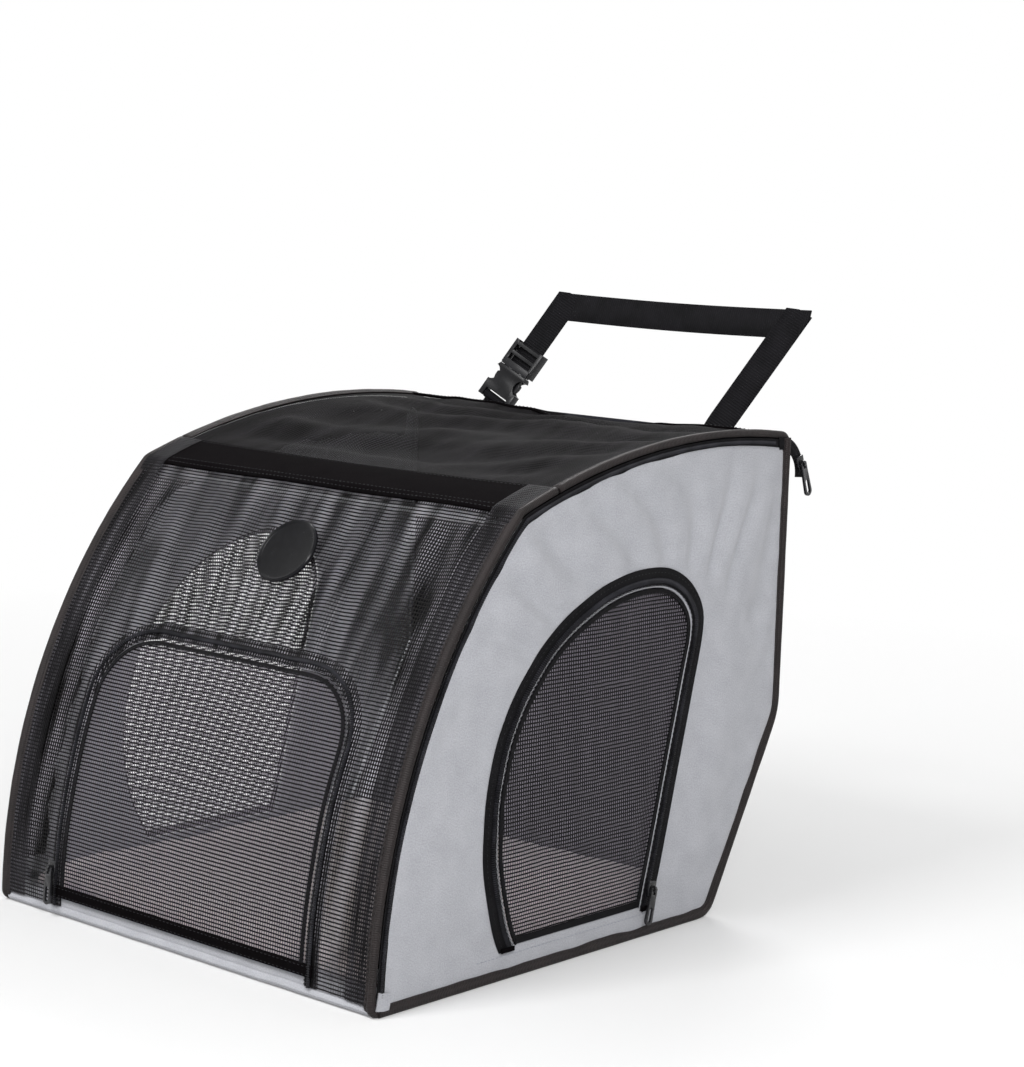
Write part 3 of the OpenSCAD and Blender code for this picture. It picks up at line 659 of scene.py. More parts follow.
# %% Tapes, webbing and piping
def tape_finish(name, hex_light, hex_dark, rib, roughness=0.7, shine=0.08):
    # Woven polyester tape (grosgrain). Its ribs run across it, 1 to 2 mm apart.
    parts = new_material(name)
    tree = parts[1]
    place = add(tree, "UVMap").outputs["UV"]
    ribs = woven(tree, place, rib, rib * 0.6)[1]
    patches = mottled(tree, place, 0.02, 0.0, 0.6)
    # The ribs' crests are lighter in colour; on the zip coil this is a painted highlight on each turn.
    tone = maths(tree, "MULTIPLY_ADD", ribs, 0.4, patches)
    return surfaced(parts, (ribs, 0.6, 0.0004), {
        "Base Color": between(tree, tone, hex_dark, hex_light), "Roughness": roughness,
        "Specular IOR Level": shine})


binding_tape = tape_finish("brown_black_binding_tape", "261f1f", "110d0d", 0.0016, 0.55, 0.25)
zip_tape = tape_finish("black_zip_tape", "141316", "070708", 0.0012, 0.6)
webbing = tape_finish("black_webbing", "171619", "070708", 0.0022, 0.55, 0.05)
# Nylon monofilament, coiled into teeth: glossy. Each turn has a painted highlight on its back: the lighter
# crest of the colour's ribs, one per turn.
coil_nylon = tape_finish("black_nylon_coil", "303035", "050506", 0.0017, 0.5, 0.12)
print("ribs drawn 1.2 to 2.2 mm apart")

# %% Nylon, plastic, paint and steel
def hard_finish(name, hex_colour, hex_worn, roughness, grain, metallic=0.0, shine=0.5):
    """Moulded or painted hard surface with a fine grain, slightly worn in patches."""
    parts = new_material(name)
    tree = parts[1]
    place = add(tree, "TexCoord").outputs["Object"]
    patches = mottled(tree, place, 0.006, 0.0, 1.0)
    edges = stretched(tree, add(tree, "NewGeometry").outputs["Pointiness"], 0.52, 0.60)
    tone = maths(tree, "MULTIPLY_ADD", patches, 0.35, edges)
    return surfaced(parts, (speckled(tree, place, 1 / grain), 0.25, 0.0001), {
        "Base Color": between(tree, tone, hex_colour, hex_worn),
        "Roughness": stretched(tree, patches, 0.0, 1.0, roughness - 0.06, roughness + 0.08),
        "Metallic": metallic, "Specular IOR Level": shine})


# Zinc die casting, painted black: glossy, greyer where the paint wears on the edges.
painted_zinc = hard_finish("black_painted_zinc", "0b0b0d", "2a2a2d", 0.22, 0.0005, 0.0, 0.4)
# Acetal, injection moulded: satin black with a fine spark-eroded grain.
acetal = hard_finish("black_acetal", "0c0c0e", "19191c", 0.34, 0.0004, 0.0, 0.2)
# Moulded label plastic, glossy.
label_plastic = hard_finish("black_moulded_label", "0b0b0d", "161619", 0.20, 0.0012, 0.0, 0.13)
# Spring steel wire, drawn and oiled: a grey metal with fine drawing marks.
spring_steel = hard_finish("spring_steel_wire", "8d8f92", "a9abae", 0.35, 0.0003, 1.0)
# Bonded thread of the seams.
sewing_thread = hard_finish("black_sewing_thread", "121214", "232326", 0.5, 0.0003, 0.0, 0.15)
grey_thread = hard_finish("grey_sewing_thread", "7b7f89", "989ca6", 0.7, 0.0003, 0.0, 0.2)
print("hard finishes made")

# %% Fleece
def fleece_finish(name, hex_light, hex_dark):
    # Berber fleece: short curled polyester pile in small tufts, a soft beige that is darker between tufts.
    parts = new_material(name)
    tree = parts[1]
    place = add(tree, "TexCoord").outputs["Object"]
    tufts = add(tree, "TexVoronoi", {"Vector": place, "Scale": 190}, feature="SMOOTH_F1")
    curls = speckled(tree, place, 420, 4.0, Roughness=0.7)
    tone = maths(tree, "MULTIPLY_ADD", tufts.outputs["Distance"], -0.9, curls)
    shade = stretched(tree, tone, -0.35, 0.55)
    return surfaced(parts, (shade, 0.9, 0.002), {
        "Base Color": between(tree, shade, hex_dark, hex_light), "Roughness": 0.95, "Sheen Weight": 0.6,
        "Sheen Roughness": 0.6, "Specular IOR Level": 0.2})


fleece = fleece_finish("beige_fleece", "f0e3e2", "c8b5b4")
print("fleece tufts are about 5 mm wide")

# %% [markdown]
# ## The side panels
# Each side is a sheet of foam-backed canvas with an arched opening. A flat plate would look like board, so
# the panel is a ring of cloth between the carrier's outline and the window, laid on a ground that swells and
# puckers, and then given its thickness.

# %% Side panels
def side_outline():
    """The panel's outline. In front and on top it ends beside the edge zip, which is covered low down and
    shows more and more towards the rear; behind and below it goes under the piping."""
    rear_in, corner = 0.005, 0.011
    front_mid, front_disc = front_c + Vector((0, 0.005)), FRONT_R - 0.0088
    top_mid, top_disc = top_c - Vector((0.009, 0)), TOP_R - 0.0095
    corner_y = REAR_Y - rear_in - corner
    corner_z = top_mid.y + math.sqrt((top_disc - corner) ** 2 - (corner_y - top_mid.x) ** 2)
    away = (Vector((corner_y, corner_z)) - top_mid).normalized()
    return [("disc", front_mid, front_disc), ("disc", top_mid, top_disc),
            ("wall", Vector((REAR_Y - rear_in, 0)), EAST),
            ("wall", Vector((BASE_REAR, 0)) - SLANT_OUT * rear_in, SLANT_OUT),
            ("wall", Vector((0, rear_in)), SOUTH),
            ("round", Vector((corner_y, corner_z)), corner, EAST, away)]


LEG_SLOPE = 0.2435                 # the window's rear leg leans back by this much
LEG_FOOT = Vector((FRONT_Y + 0.300, 0))
WINDOW_Z = 0.024                   # height of the window's foot
WINDOW_ROUND = 0.060               # radius between its big arc and its rear leg
leg_out = Vector((1, -LEG_SLOPE)).normalized()
leg_up = Vector((-leg_out.y, leg_out.x))
round_base = LEG_FOOT - WINDOW_ROUND * leg_out
offset = round_base - WINDOW_C
round_along = offset.dot(leg_up)
round_c = round_base + leg_up * (math.sqrt(round_along ** 2 - offset.length_squared
                                           + (WINDOW_R - WINDOW_ROUND) ** 2) - round_along)


def window_outline(inset, bottom=WINDOW_Z):
    """The side window, inset from the outer edge of its zip tape."""
    away = (round_c - WINDOW_C).normalized()
    return [("disc", WINDOW_C, WINDOW_R - inset), ("wall", LEG_FOOT - leg_out * inset, leg_out),
            ("wall", Vector((0, bottom)), SOUTH),
            ("round", round_c, WINDOW_ROUND - inset, leg_out, away)]


SIDES = (("right", 1), ("left", -1))
MIDDLE_Y = 0.075                   # the middle of the window's foot
PANEL_IN = 0.0155                  # the panel ends this far inside the zip tape's outer edge
middle_of_window = Vector((MIDDLE_Y, 0.12))
for label, side in SIDES:
    cloth = ring(side_outline(), window_outline(PANEL_IN), middle_of_window, 420, 40)
    panel = make(f"side_panel_cloth_{label}", lay(cloth, side_ground(side)), "body", grey_canvas,
                 [f"side_panel_{label}"])
    thick = panel.modifiers.new("foam_thickness", "SOLIDIFY")
    thick.thickness, thick.offset = 0.0042, -1

# %% [markdown]
# ## Mesh doors and cover
# The doors are discs of net. The front net is a ring round the doorway, the top net hangs between the
# bindings and sags in its middle.

# %% Doors and cover
def doorway_outline(inset, bottom):
    """The front doorway in flat cover coordinates, inset from the middle of its zip."""
    half, top, radius = 0.140 - inset, 0.225 - inset, 0.058 - inset
    top_s = FRONT_R * math.asin(top / FRONT_R)
    return [("wall", Vector((half, 0)), EAST), ("wall", Vector((-half, 0)), WEST),
            ("wall", Vector((0, top_s)), NORTH), ("wall", Vector((0, bottom)), SOUTH),
            ("round", Vector((half - radius, top_s - radius)), radius, EAST, NORTH),
            ("round", Vector((radius - half, top_s - radius)), radius, NORTH, WEST)]


def walls(half, low, high):
    return [("wall", Vector((half, 0)), EAST), ("wall", Vector((-half, 0)), WEST),
            ("wall", Vector((0, low)), SOUTH), ("wall", Vector((0, high)), NORTH)]


NET_HALF = 0.199
NET_LIFT = -0.0006                 # nets lie just under the tapes that hold them
HEM_S = 0.0246                     # top of the hem, where the net and the front door start
BAND_S = KINK_S + 0.040
middle_of_door = Vector((0, 0.12))
for label, side in SIDES:
    cloth = ring(window_outline(0.0163, WINDOW_Z + 0.0005), None, middle_of_window, 300, 60)
    door = make(f"side_door_net_{label}", lay(cloth, side_ground(side), NET_LIFT), f"side_door_{label}",
                door_mesh, [f"side_door_{label}"])
cloth = ring(doorway_outline(0.0063, HEM_S), None, middle_of_door, 300, 60)
door = make("front_door_net", lay(cloth, cover_ground, NET_LIFT), "front_door", door_mesh,
            ["front_door"])
NET_FOOT = 0.0085                  # beside the door the net reaches down to the sill's roll
cloth = ring(walls(NET_HALF, NET_FOOT, KINK_S + 0.002), doorway_outline(0.0057, NET_FOOT),
             middle_of_door, 480, 60)
bmesh.ops.dissolve_degenerate(cloth, edges=cloth.edges, dist=1e-6)
front_net = make("front_net", lay(cloth, cover_ground, NET_LIFT), "body", black_mesh,
                 ["front_mesh"])


def rectangle(half, low, high, across, along):
    """A flat grid of cloth."""
    cloth = bmesh.new()
    bmesh.ops.create_grid(cloth, x_segments=across, y_segments=along, size=1)
    for vertex in cloth.verts:
        vertex.co = (vertex.co.x * half, low + (high - low) * (vertex.co.y + 1) / 2, 0)
    return cloth


cloth = rectangle(NET_HALF, BAND_S + 0.0008, EDGE_S - 0.004, 150, 110)
top_net = make("top_net", lay(cloth, cover_ground, NET_LIFT), "top_flap", drawn_mesh,
               ["top_mesh"])

# %% [markdown]
# ## Band, hems and bindings
# The cross band is a doubled strip of plain black cloth over the bar. Hems and band get a little thickness.
# The bindings are one tape folded over each edge: a section like a soft hook, drawn along the edge.

# %% Cross band and hems
def doubled(piece, thickness):
    """Gives a sheet its thickness."""
    fold = piece.modifiers.new("doubled_cloth", "SOLIDIFY")
    fold.thickness, fold.offset = thickness, 0
    return piece


BAND_HALF = HALF - 0.006
cloth = lay(rectangle(BAND_HALF, KINK_S - 0.004, BAND_S, 150, 16), cover_ground, 0.0008)
band = doubled(make("cross_band_cloth", cloth, "body", black_cloth, ["cross_band"]), 0.0014)
cloth = lay(rectangle(0.1425, 0.0158, HEM_S, 100, 6), cover_ground)
hem = doubled(make("front_hem_cloth", cloth, "body", black_cloth, ["front_hem"]), 0.0022)
cloth = lay(rectangle(BAND_HALF, EDGE_S - 0.0165, EDGE_S - 0.001, 120, 8), cover_ground, 0.0004)
rear_hem = make("rear_hem_cloth", cloth, "top_flap", black_cloth, ["rear_hem"])
rear_hem = doubled(rear_hem, 0.0022)

# %% Net facings
# Along each binding the net is turned back on itself, and its gathered edge shows as fine upright ribs.
def net_edge(side, low, high, count):
    cloth = rectangle(0.0115, low, high, 12, count)
    for vertex in cloth.verts:
        vertex.co.x += side * (HALF - 0.0155)
    lay(cloth, cover_ground, 0.0007)
    for vertex in cloth.verts:                   # it ends on top of the cross band
        vertex.co += Vector((0, -0.0008, 0.0013)) * smooth(KINK_Z - 0.012, KINK_Z - 0.004, vertex.co.z)
    return cloth


for label, side in SIDES:
    turned = make(f"net_facing_{label}", net_edge(side, NET_FOOT, BAND_S - 0.0006, 120), "body",
                  gathered_mesh)

# %% Bindings
HOOK = [(a * MM, b * MM) for a, b in (
    (-7.6, -0.2), (-7.9, 0.5), (-7.3, 1.1), (-5.6, 1.3), (-4.7, 1.1), (-4.2, 1.7), (-3.2, 2.4), (-1.9, 2.7),
    (-0.5, 2.4), (0.6, 1.4), (1.0, 0.0), (0.9, -1.6), (0.3, -2.8), (-0.4, -3.1), (-0.9, -2.6), (-1.2, -1.2),
    (-2.4, -0.5), (-5, -0.3))]


def edge_stops(low, high, side, step=0.004):
    """Stops along the carrier's edge on one side, for a section drawn from its corner."""
    count = round((high - low) / step)
    found = []
    for i in range(count + 1):
        s = low + (high - low) * i / count
        flat, outward = edge(s)
        puff = 1 + 0.10 * wave(s, side, 0.018, 11) + 0.05 * wave(s, side, 0.006, 12)
        found.append((Vector((side * HALF, *flat)), X * side, Vector((0, *outward)), puff))
    return found


def turned_stops(stop, radius, angle, count=10):
    """Goes on from a stop round a quarter bend, away from the stop's outward side."""
    origin, across, outward, size = stop
    ahead = Vector((0, outward.z, -outward.y))
    middle = origin - outward * radius
    return [(middle + (outward * math.cos(a) + ahead * math.sin(a)) * radius, across,
             outward * math.cos(a) + ahead * math.sin(a), size)
            for a in (angle * i / count for i in range(1, count + 1))]


for label, side in SIDES:
    rise = edge_stops(0.0092, BAND_S - 0.0010, side)
    foot = turned_stops(rise[0], 0.0065, -math.radians(90))
    last = foot[-1]
    foot += [(last[0] + Y * 0.004 * i, last[1], last[2], 1 - 0.15 * i) for i in (1, 2, 3)]
    make(f"front_binding_tape_{label}", swept(HOOK, foot[::-1] + rise), "body", binding_tape,
         [f"front_binding_{label}"], sharp=0)
    run = edge_stops(BAND_S + 0.0014, EDGE_S - 0.009, side)
    make(f"top_binding_tape_{label}", swept(HOOK, run + turned_stops(run[-1], 0.009, math.radians(84))),
         "top_flap", binding_tape, [f"top_binding_{label}"], sharp=0)

# %% [markdown]
# ## Zips
# Every zip has a woven tape on each side of a nylon coil. The coil's turns stand up as small teeth, drawn by
# making each second stop of the coil's path larger.

# %% Zip tapes and coils
def strip_section(low, high, thickness):
    """A flat tape's section, from low to high to the right of its path, with soft edges."""
    t = thickness
    return [(low, 0), (low - 0.0001, t * 0.5), (low + 0.0003, t), (high - 0.0003, t),
            (high + 0.0001, t * 0.5), (high, 0)]


def flat_tape(low, high, thickness, line, ground, lift=0.0):
    """A flat tape along a line, from low to high to the line's right."""
    return swept(strip_section(low, high, thickness), stops(line, ground, lift))


COIL = [(math.cos(a) * 0.0024, 0.0012 + math.sin(a) * 0.0016)
        for a in (math.radians(-20 + 220 * i / 7) for i in range(8))]
TOOTH = 0.00085                    # half the distance between two turns of the coil
TOOTH_SIZES = (1.0, 0.6)


def zip_coil(line, ground, lift=0.0, width=1.0, height=1.0, base=0.0):
    """A coil along a line whose stops are TOOTH apart."""
    section = [(a * width, b * height + base) for a, b in COIL]
    return swept(section, stops(line, ground, lift, TOOTH_SIZES))


def open_line(outline, origin, count, bottom, step):
    """The outline's points from its right foot over the top to its left foot."""
    points = outline_loop(outline, origin, count)
    first = min(range(count), key=lambda i: (points[i] - Vector((9, bottom))).length
                if abs(points[i].y - bottom) < 1e-4 else 99)
    turned = points[first:] + points[:first]
    line = [p for i, p in enumerate(turned) if p.y > bottom + 1e-5 or i == 0]
    last = min((p for p in points if abs(p.y - bottom) < 1e-4), key=lambda p: p.x)
    return resampled(line + [last], step)


TAPE_FOOT = 0.0120                 # the tapes are drawn a little too long and cut level at the window's edge
LEVEL_FOOT = (0, 0, 0.0208)
DOOR_FOOT = 0.0245
TAPE_STEP = 0.005


def walk(inset, step, foot=TAPE_FOOT):
    """A line round the side window, inset from the outer edge of its zip tape."""
    return open_line(window_outline(inset, foot), middle_of_window, 240, foot, step)


for label, side in SIDES:
    ground = side_ground(side)
    tape = flat_tape(-0.0055, 0.0078, 0.0011, walk(0.0079, TAPE_STEP), ground)
    coil = zip_coil(walk(0.010, TOOTH), ground)
    for shape in (tape, coil):
        trimmed(shape, LEVEL_FOOT, -Z)
    tacks = []
    for way in (-1, 1):                          # a bar of cloth is sewn over each foot of the coil
        far = reach(window_outline(0.001, 0), Vector((MIDDLE_Y, 0.0225)), EAST * way)[0]
        bar = [Vector((MIDDLE_Y + way * (far - 0.014 * i / 5), 0.0226)) for i in range(6)]
        tacks.append(flat_tape(-0.0018, 0.0018, 0.0009, bar, ground, 0.0023))
    make(f"side_zip_tack_{label}", joined(tacks), "body", black_cloth, sharp=0)
    make(f"side_zip_tape_{label}", tape, "body", zip_tape, [f"side_zip_{label}"])
    make(f"side_zip_coil_{label}", coil, "body", coil_nylon)
    facing = flat_tape(-0.0018, 0.0018, 0.0011, walk(0.0181, TAPE_STEP, DOOR_FOOT), ground)
    hem_middle = Vector((MIDDLE_Y, 0.027))
    ends = [hem_middle + way * reach(window_outline(0.0175, 0), hem_middle, way)[0] for way in (WEST, EAST)]
    hem = flat_tape(-0.0026, 0.0026, 0.0012, resampled(ends, TAPE_STEP), ground)
    make(f"side_door_facing_{label}", joined([facing, hem]), f"side_door_{label}", zip_tape,
         [f"side_door_tape_{label}"])


def door_line(inset, step, foot=NET_FOOT):
    """A line round the front door, inset from the middle of its zip."""
    return open_line(doorway_outline(inset, foot), middle_of_door, 240, foot, step)


tape = flat_tape(-0.0060, 0.0060, 0.0011, door_line(-0.0010, TAPE_STEP), cover_ground, -0.0019)
make("front_zip_tape", tape, "body", zip_tape, ["front_zip"])
coil = zip_coil(door_line(0.0, TOOTH), cover_ground, -0.0004, 0.75, 0.9)
make("front_zip_coil", coil, "body", coil_nylon)
facing = flat_tape(-0.0018, 0.0014, 0.0009, door_line(0.0081, TAPE_STEP, HEM_S), cover_ground)
make("front_door_facing", facing, "front_door", zip_tape, ["front_door_tape"])
print("zips laid")

# %% [markdown]
# ## Edge zips and piping
# Between binding and panel runs one more zip, which closes the cover onto the side. Its tape comes loose at
# the rear top corner and curls down. Dark piping closes the bottom and rear edges.

# %% Edge zips
ZIP_IN = 0.0072                    # inset of the edge zip's coil from the carrier's outline
TAIL_R = 0.026                     # the loose end of the tape curls down round this
CLEAR_TEETH = 10                   # stops of coil left out where the slider parks
tail_top = REAR_Y - 0.012
tail_c = Vector((tail_top, top_c.y + math.sqrt((TOP_R - 0.007) ** 2 - (tail_top - top_c.x) ** 2) - TAIL_R))


def arc_line(centre, radius, start, stop, step=0.003):
    count = max(2, round(abs(stop - start) * radius / step))
    return [centre + radius * turn(start + (stop - start) * i / count) for i in range(count + 1)]


def edge_line(inset):
    """The side's edge from its front foot to the rear, inset into the side."""
    gap_c = (top_c - front_c).length
    a = ((FRONT_R - inset) ** 2 - (TOP_R - inset) ** 2 + gap_c ** 2) / (2 * gap_c)
    h = math.sqrt((FRONT_R - inset) ** 2 - a ** 2)
    u = (top_c - front_c) / gap_c
    crease = front_c + u * a + Vector((u.y, -u.x)) * h
    foot = math.pi - math.asin(0.0147 / (FRONT_R - inset))
    front = arc_line(front_c, FRONT_R - inset, foot, angle_at(front_c, crease))
    end = math.acos((tail_top - top_c.x) / (TOP_R - inset))
    return front[:-1] + arc_line(top_c, TOP_R - inset, angle_at(top_c, crease), end)


for label, side in SIDES:
    ground = side_ground(side, waves=False)
    line = edge_line(ZIP_IN)
    tape = flat_tape(-0.0033, 0.0036, 0.0009, resampled(line, TAPE_STEP), ground, -0.0002)
    coil = zip_coil(resampled(line, TOOTH)[:-CLEAR_TEETH], ground, 0.0002, 0.75, 0.8)
    tail = arc_line(tail_c, TAIL_R, math.radians(97), math.radians(-6), 0.0015)
    loose = flat_tape(-0.0052, 0.0052, 0.0008, tail, ground, 0.0004)
    teeth = zip_coil(resampled(tail, TOOTH), ground, 0.0004, 0.7, 0.12, 0.0006)
    make(f"edge_zip_tape_{label}", joined([tape, loose]), "body", zip_tape,
         [f"edge_zip_{label}"])
    make(f"edge_zip_coil_{label}", joined([coil, teeth]), "body", coil_nylon)

# %% Piping
def softened(points, radius):
    """A line with its corners rounded."""
    line = [points[0]]
    for before, corner, after in zip(points, points[1:], points[2:]):
        first = corner + (before - corner).normalized() * radius
        last = corner + (after - corner).normalized() * radius
        line += [first.lerp(corner, t).lerp(corner.lerp(last, t), t) for t in (0, 0.25, 0.5, 0.75, 1)]
    return line + [points[-1]]


PIPE = [(a * 1.25 * MM, b * 1.1 * MM) for a, b in (
    (-6.6, 0.2), (-6.3, 0.9), (-5.4, 1.1), (-4.8, 0.9), (-4.4, 1.6), (-3.4, 2.3), (-2.1, 2.5), (-0.8, 1.9),
    (-0.1, 0.8), (0.0, -0.8), (0.0, -2.4), (-0.6, -4.4), (-2.0, -5.0), (-6.2, -5.0))]
rear_line = softened([Vector((FRONT_Y + 0.006, 0)), Vector((BASE_REAR, 0)), Vector((REAR_Y, SLANT_Z)),
                      Vector((REAR_Y, REAR_Z - 0.0016))], 0.013)
PIPE_STEP = 0.004
for label, side in SIDES:
    line = resampled(rear_line, PIPE_STEP)
    plumpness = [1 + 0.2 * wave(i * PIPE_STEP, side, 0.022, 51) for i in range(len(line))]
    pipe = swept(PIPE, stops(line, side_ground(side, waves=False), 0.0, plumpness))
    make(f"piping_tape_{label}", pipe, "body", binding_tape, [f"piping_{label}"], sharp=0)

# %% [markdown]
# ## Base, pad and back
# The base is a board wrapped in canvas with a rolled front sill. On it lies a fleece pad. The back is a bent
# sheet that leans with the car seat below and stands upright above.

# %% Wrapped base
SILL = [Vector((FRONT_Y + y * MM, z * MM)) for y, z in (
    (372, 0), (300, 0), (200, 0), (100, 0), (30, 0), (7, 0), (3.6, 0.5), (1.0, 2.0), (-0.1, 4.0), (0.4, 6.0),
    (1.6, 7.5), (2.6, 7.9), (2.3, 8.6), (2.2, 11.0), (2.3, 13.5), (3.2, 15.6), (5.4, 15.9), (9, 14), (30, 14),
    (100, 14), (200, 14), (300, 14), (379, 14))]
BASE_HALF = 0.1977
base_stops = [(X * BASE_HALF * (i / 30 - 1), Y, Z, 1.0) for i in range(61)]
wrapped = swept([tuple(point) for point in SILL], base_stops)
for vertex in wrapped.verts:
    if vertex.co.y < FRONT_Y + 0.012 and vertex.co.z > 0.002:
        vertex.co.y += 0.0005 * wave(vertex.co.x, vertex.co.z, 0.03, 21)
        vertex.co.z += 0.0004 * wave(vertex.co.x, vertex.co.y, 0.02, 22)
make("base_wrap", wrapped, "body", grey_canvas, ["base_panel"])

# %% [markdown]
# The pad is a thin cushion. A copy of its CAD slab is made of even cells by a voxel remesh and blown up a
# little with cloth pressure, so its edges round off by themselves. Then the pile gets its small lumps.

# %% Fleece pad
def cad_copy(node):
    """A bmesh of a CAD node with its loose triangles merged."""
    shape = bmesh.new()
    shape.from_mesh(frame["nodes"][node].data)
    bmesh.ops.remove_doubles(shape, verts=shape.verts, dist=1e-6)
    return shape


def blown(name, shape, voxel, pressure, cap, frames=20):
    """Remeshes a closed shape and inflates it with Cloth. No point moves more than cap."""
    body = bpy.data.objects.new(name + "_form", bpy.data.meshes.new(name + "_form"))
    shape.to_mesh(body.data)
    shape.free()
    bpy.context.scene.collection.objects.link(body)
    cells = body.modifiers.new("cells", "REMESH")
    cells.mode, cells.voxel_size = "VOXEL", voxel
    bpy.context.view_layer.objects.active = body
    bpy.ops.object.modifier_apply(modifier=cells.name)
    before = [v.co.copy() for v in body.data.vertices]
    cloth = body.modifiers.new("cloth", "CLOTH")
    cloth.settings.quality = 5
    cloth.settings.use_pressure = True
    cloth.settings.uniform_pressure_force = pressure
    cloth.settings.effector_weights.gravity = 0
    for number in range(1, frames + 1):
        bpy.context.scene.frame_set(number)
    bpy.ops.object.modifier_apply(modifier=cloth.name)
    bpy.context.scene.frame_set(1)
    for vertex, start in zip(body.data.vertices, before):
        moved = vertex.co - start
        if moved.length > cap:
            vertex.co = start + moved * (cap / moved.length)
    made = bmesh.new()
    made.from_mesh(body.data)
    bpy.data.objects.remove(body)
    return made


PAD_SHRINK = 0.985                 # the slab starts a little small, for it grows as it is blown up
low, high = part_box("floor_pad")
middle_y = (low.y + high.y) / 2
slab = cad_copy("floor_pad")
for vertex in slab.verts:
    vertex.co.x *= PAD_SHRINK
    vertex.co.y = middle_y + (vertex.co.y - middle_y) * PAD_SHRINK
    if vertex.co.z > 0.02:
        vertex.co.z -= 0.0055
pad = blown("fleece_pad", slab, 0.005, 3.0, 0.006)
bmesh.ops.subdivide_edges(pad, edges=pad.edges[:], cuts=1, use_grid_fill=True)
for vertex in pad.verts:
    x, y, z = vertex.co
    inner = min(high.x - abs(x), y - low.y, high.y - y)
    if z > 0.018:
        vertex.co.z += 0.0016 * wave(x, y, 0.045, 31) + 0.0011 * wave(x, y, 0.011, 32) \
            + 0.0006 * wave(x, y, 0.005, 33) - 0.004 * (1 - smooth(0, 0.02, inner))
    vertex.co.z = min(max(vertex.co.z, low.z), high.z + 0.001)
pad_piece = make("fleece_pad", pad, "body", fleece, ["floor_pad"], sharp=0)

# %% Back
STRAP_X = 0.122                    # the straps' feet are this far from the middle; the back is flat there
BACK_TURN = 0.012                  # the bend between slanted and upright back is rounded
BACK_HALF, BACK_TOP = 0.1968, 0.376
back_line = softened([Vector((BASE_REAR - 0.0005, 0.001)), Vector((REAR_Y, SLANT_Z)),
                      Vector((REAR_Y, BACK_TOP + 0.0002))], BACK_TURN)
back_points = resampled(back_line, 0.005)
back_cloth = rectangle(BACK_HALF, 0, 1, 90, len(back_points) - 1)
flat_length = sum((b - a).length for a, b in zip(back_points, back_points[1:]))
for vertex in back_cloth.verts:
    vertex.co.y *= flat_length
flat_map(back_cloth)
for vertex in back_cloth.verts:
    x, t = vertex.co.x, vertex.co.y / flat_length * (len(back_points) - 1)
    j = min(int(t), len(back_points) - 2)
    y, z = back_points[j].lerp(back_points[j + 1], t - j)
    from_edge = min(BACK_HALF - abs(x), z, BACK_TOP - z)
    hollow = 0.0022 * smooth(0, 0.05, from_edge) * (1 + wave(x, z, 0.09, 41)) * 0.5
    beside_strap = smooth(0.010, 0.03, abs(abs(x) - STRAP_X)) if z > 0.31 else 1
    vertex.co = (x, y - hollow * beside_strap - 0.0002, z)
bmesh.ops.recalc_face_normals(back_cloth, faces=back_cloth.faces)
back_cloth.faces.ensure_lookup_table()
if back_cloth.faces[len(back_cloth.faces) // 2].normal.y < 0:
    bmesh.ops.reverse_faces(back_cloth, faces=back_cloth.faces)
back = doubled(make("back_cloth", back_cloth, "body", lining, ["back_panel"]), 0.0042)
back.modifiers[0].offset = -1

# %% Wire sleeves
# Each hoop lies in a sleeve of black cloth that is sewn flat to the inside of its panel.
SLEEVE = [(a * MM, b * MM) for a, b in (
    (-4.9, -4.5), (-5.3, -8), (-7.2, -9.7), (-10.4, -10.6), (-11.4, -13), (-10.4, -15.5), (-7.2, -16.6),
    (-5.4, -18.5), (-5.3, -36), (-4.7, -36.2), (-4.5, -20))]
for label, side in SIDES:
    make(f"wire_sleeve_{label}", swept(SLEEVE, edge_stops(0.034, EDGE_S - 0.02, side, 0.006)), "body",
         black_cloth)
for node in ("frame_rod_right", "frame_rod_left", "cross_bar"):
    frame["nodes"][node].data.materials.clear()
    frame["nodes"][node].data.materials.append(spring_steel)

# %% [markdown]
# ## Webbing, buckle and belt loops
# Two legs of webbing stand up from the back to go round a headrest. The left leg passes through a side-release
# buckle. Webbing is flat and stiff in its own plane, so it is drawn as a flat section along a line.

# %% Straps
WEB_W, WEB_T = 0.025, 0.0015
STRAP_Y, STRAP_FOOT = REAR_Y + 0.001, REAR_Z - 0.010
STRAP_LENGTH = 0.128
level_lean = Matrix.Rotation(math.radians(-23), 3, "X")      # the legs' plane leans back,
lean = Matrix.Rotation(math.radians(25), 3, "Y") @ level_lean    # and the legs lean to the right in it


def web_section(width=WEB_W, thickness=WEB_T):
    w, t = width / 2, thickness / 2
    return [(-w, -t * 0.4), (-w, t * 0.4), (-w + t, t), (-w / 3, t * 0.93), (w / 3, t * 0.93), (w - t, t),
            (w, t * 0.4), (w, -t * 0.4), (w - t, -t), (-w + t, -t)]


def webbing_strip(line, widthways):
    """A webbing strip along 3-D points. widthways is the direction of its width at each point."""
    found = []
    for i, point in enumerate(line):
        way = (line[min(i + 1, len(line) - 1)] - line[max(i - 1, 0)]).normalized()
        across = widthways(i / (len(line) - 1)).normalized()
        across = (across - way * across.dot(way)).normalized()
        found.append((point, across, across.cross(way), 1.0))
    return swept(web_section(), found)


def leg_point(x, height, back=WEB_T / 2):
    """A point on a leg: height above its bend, back behind the leaning plane's front."""
    return Vector((x, STRAP_Y, STRAP_FOOT)) + lean @ Vector((0, back, height))


def leg_line(x, top):
    """From the foot on the back, over the bend and up the leaning leg."""
    foot = [Vector((x, REAR_Y + WEB_T / 2, STRAP_FOOT - 0.04 + 0.004 * i)) for i in range(10)]
    return foot + [leg_point(x, 0.004 + (top - 0.004) * i / 24) for i in range(25)]


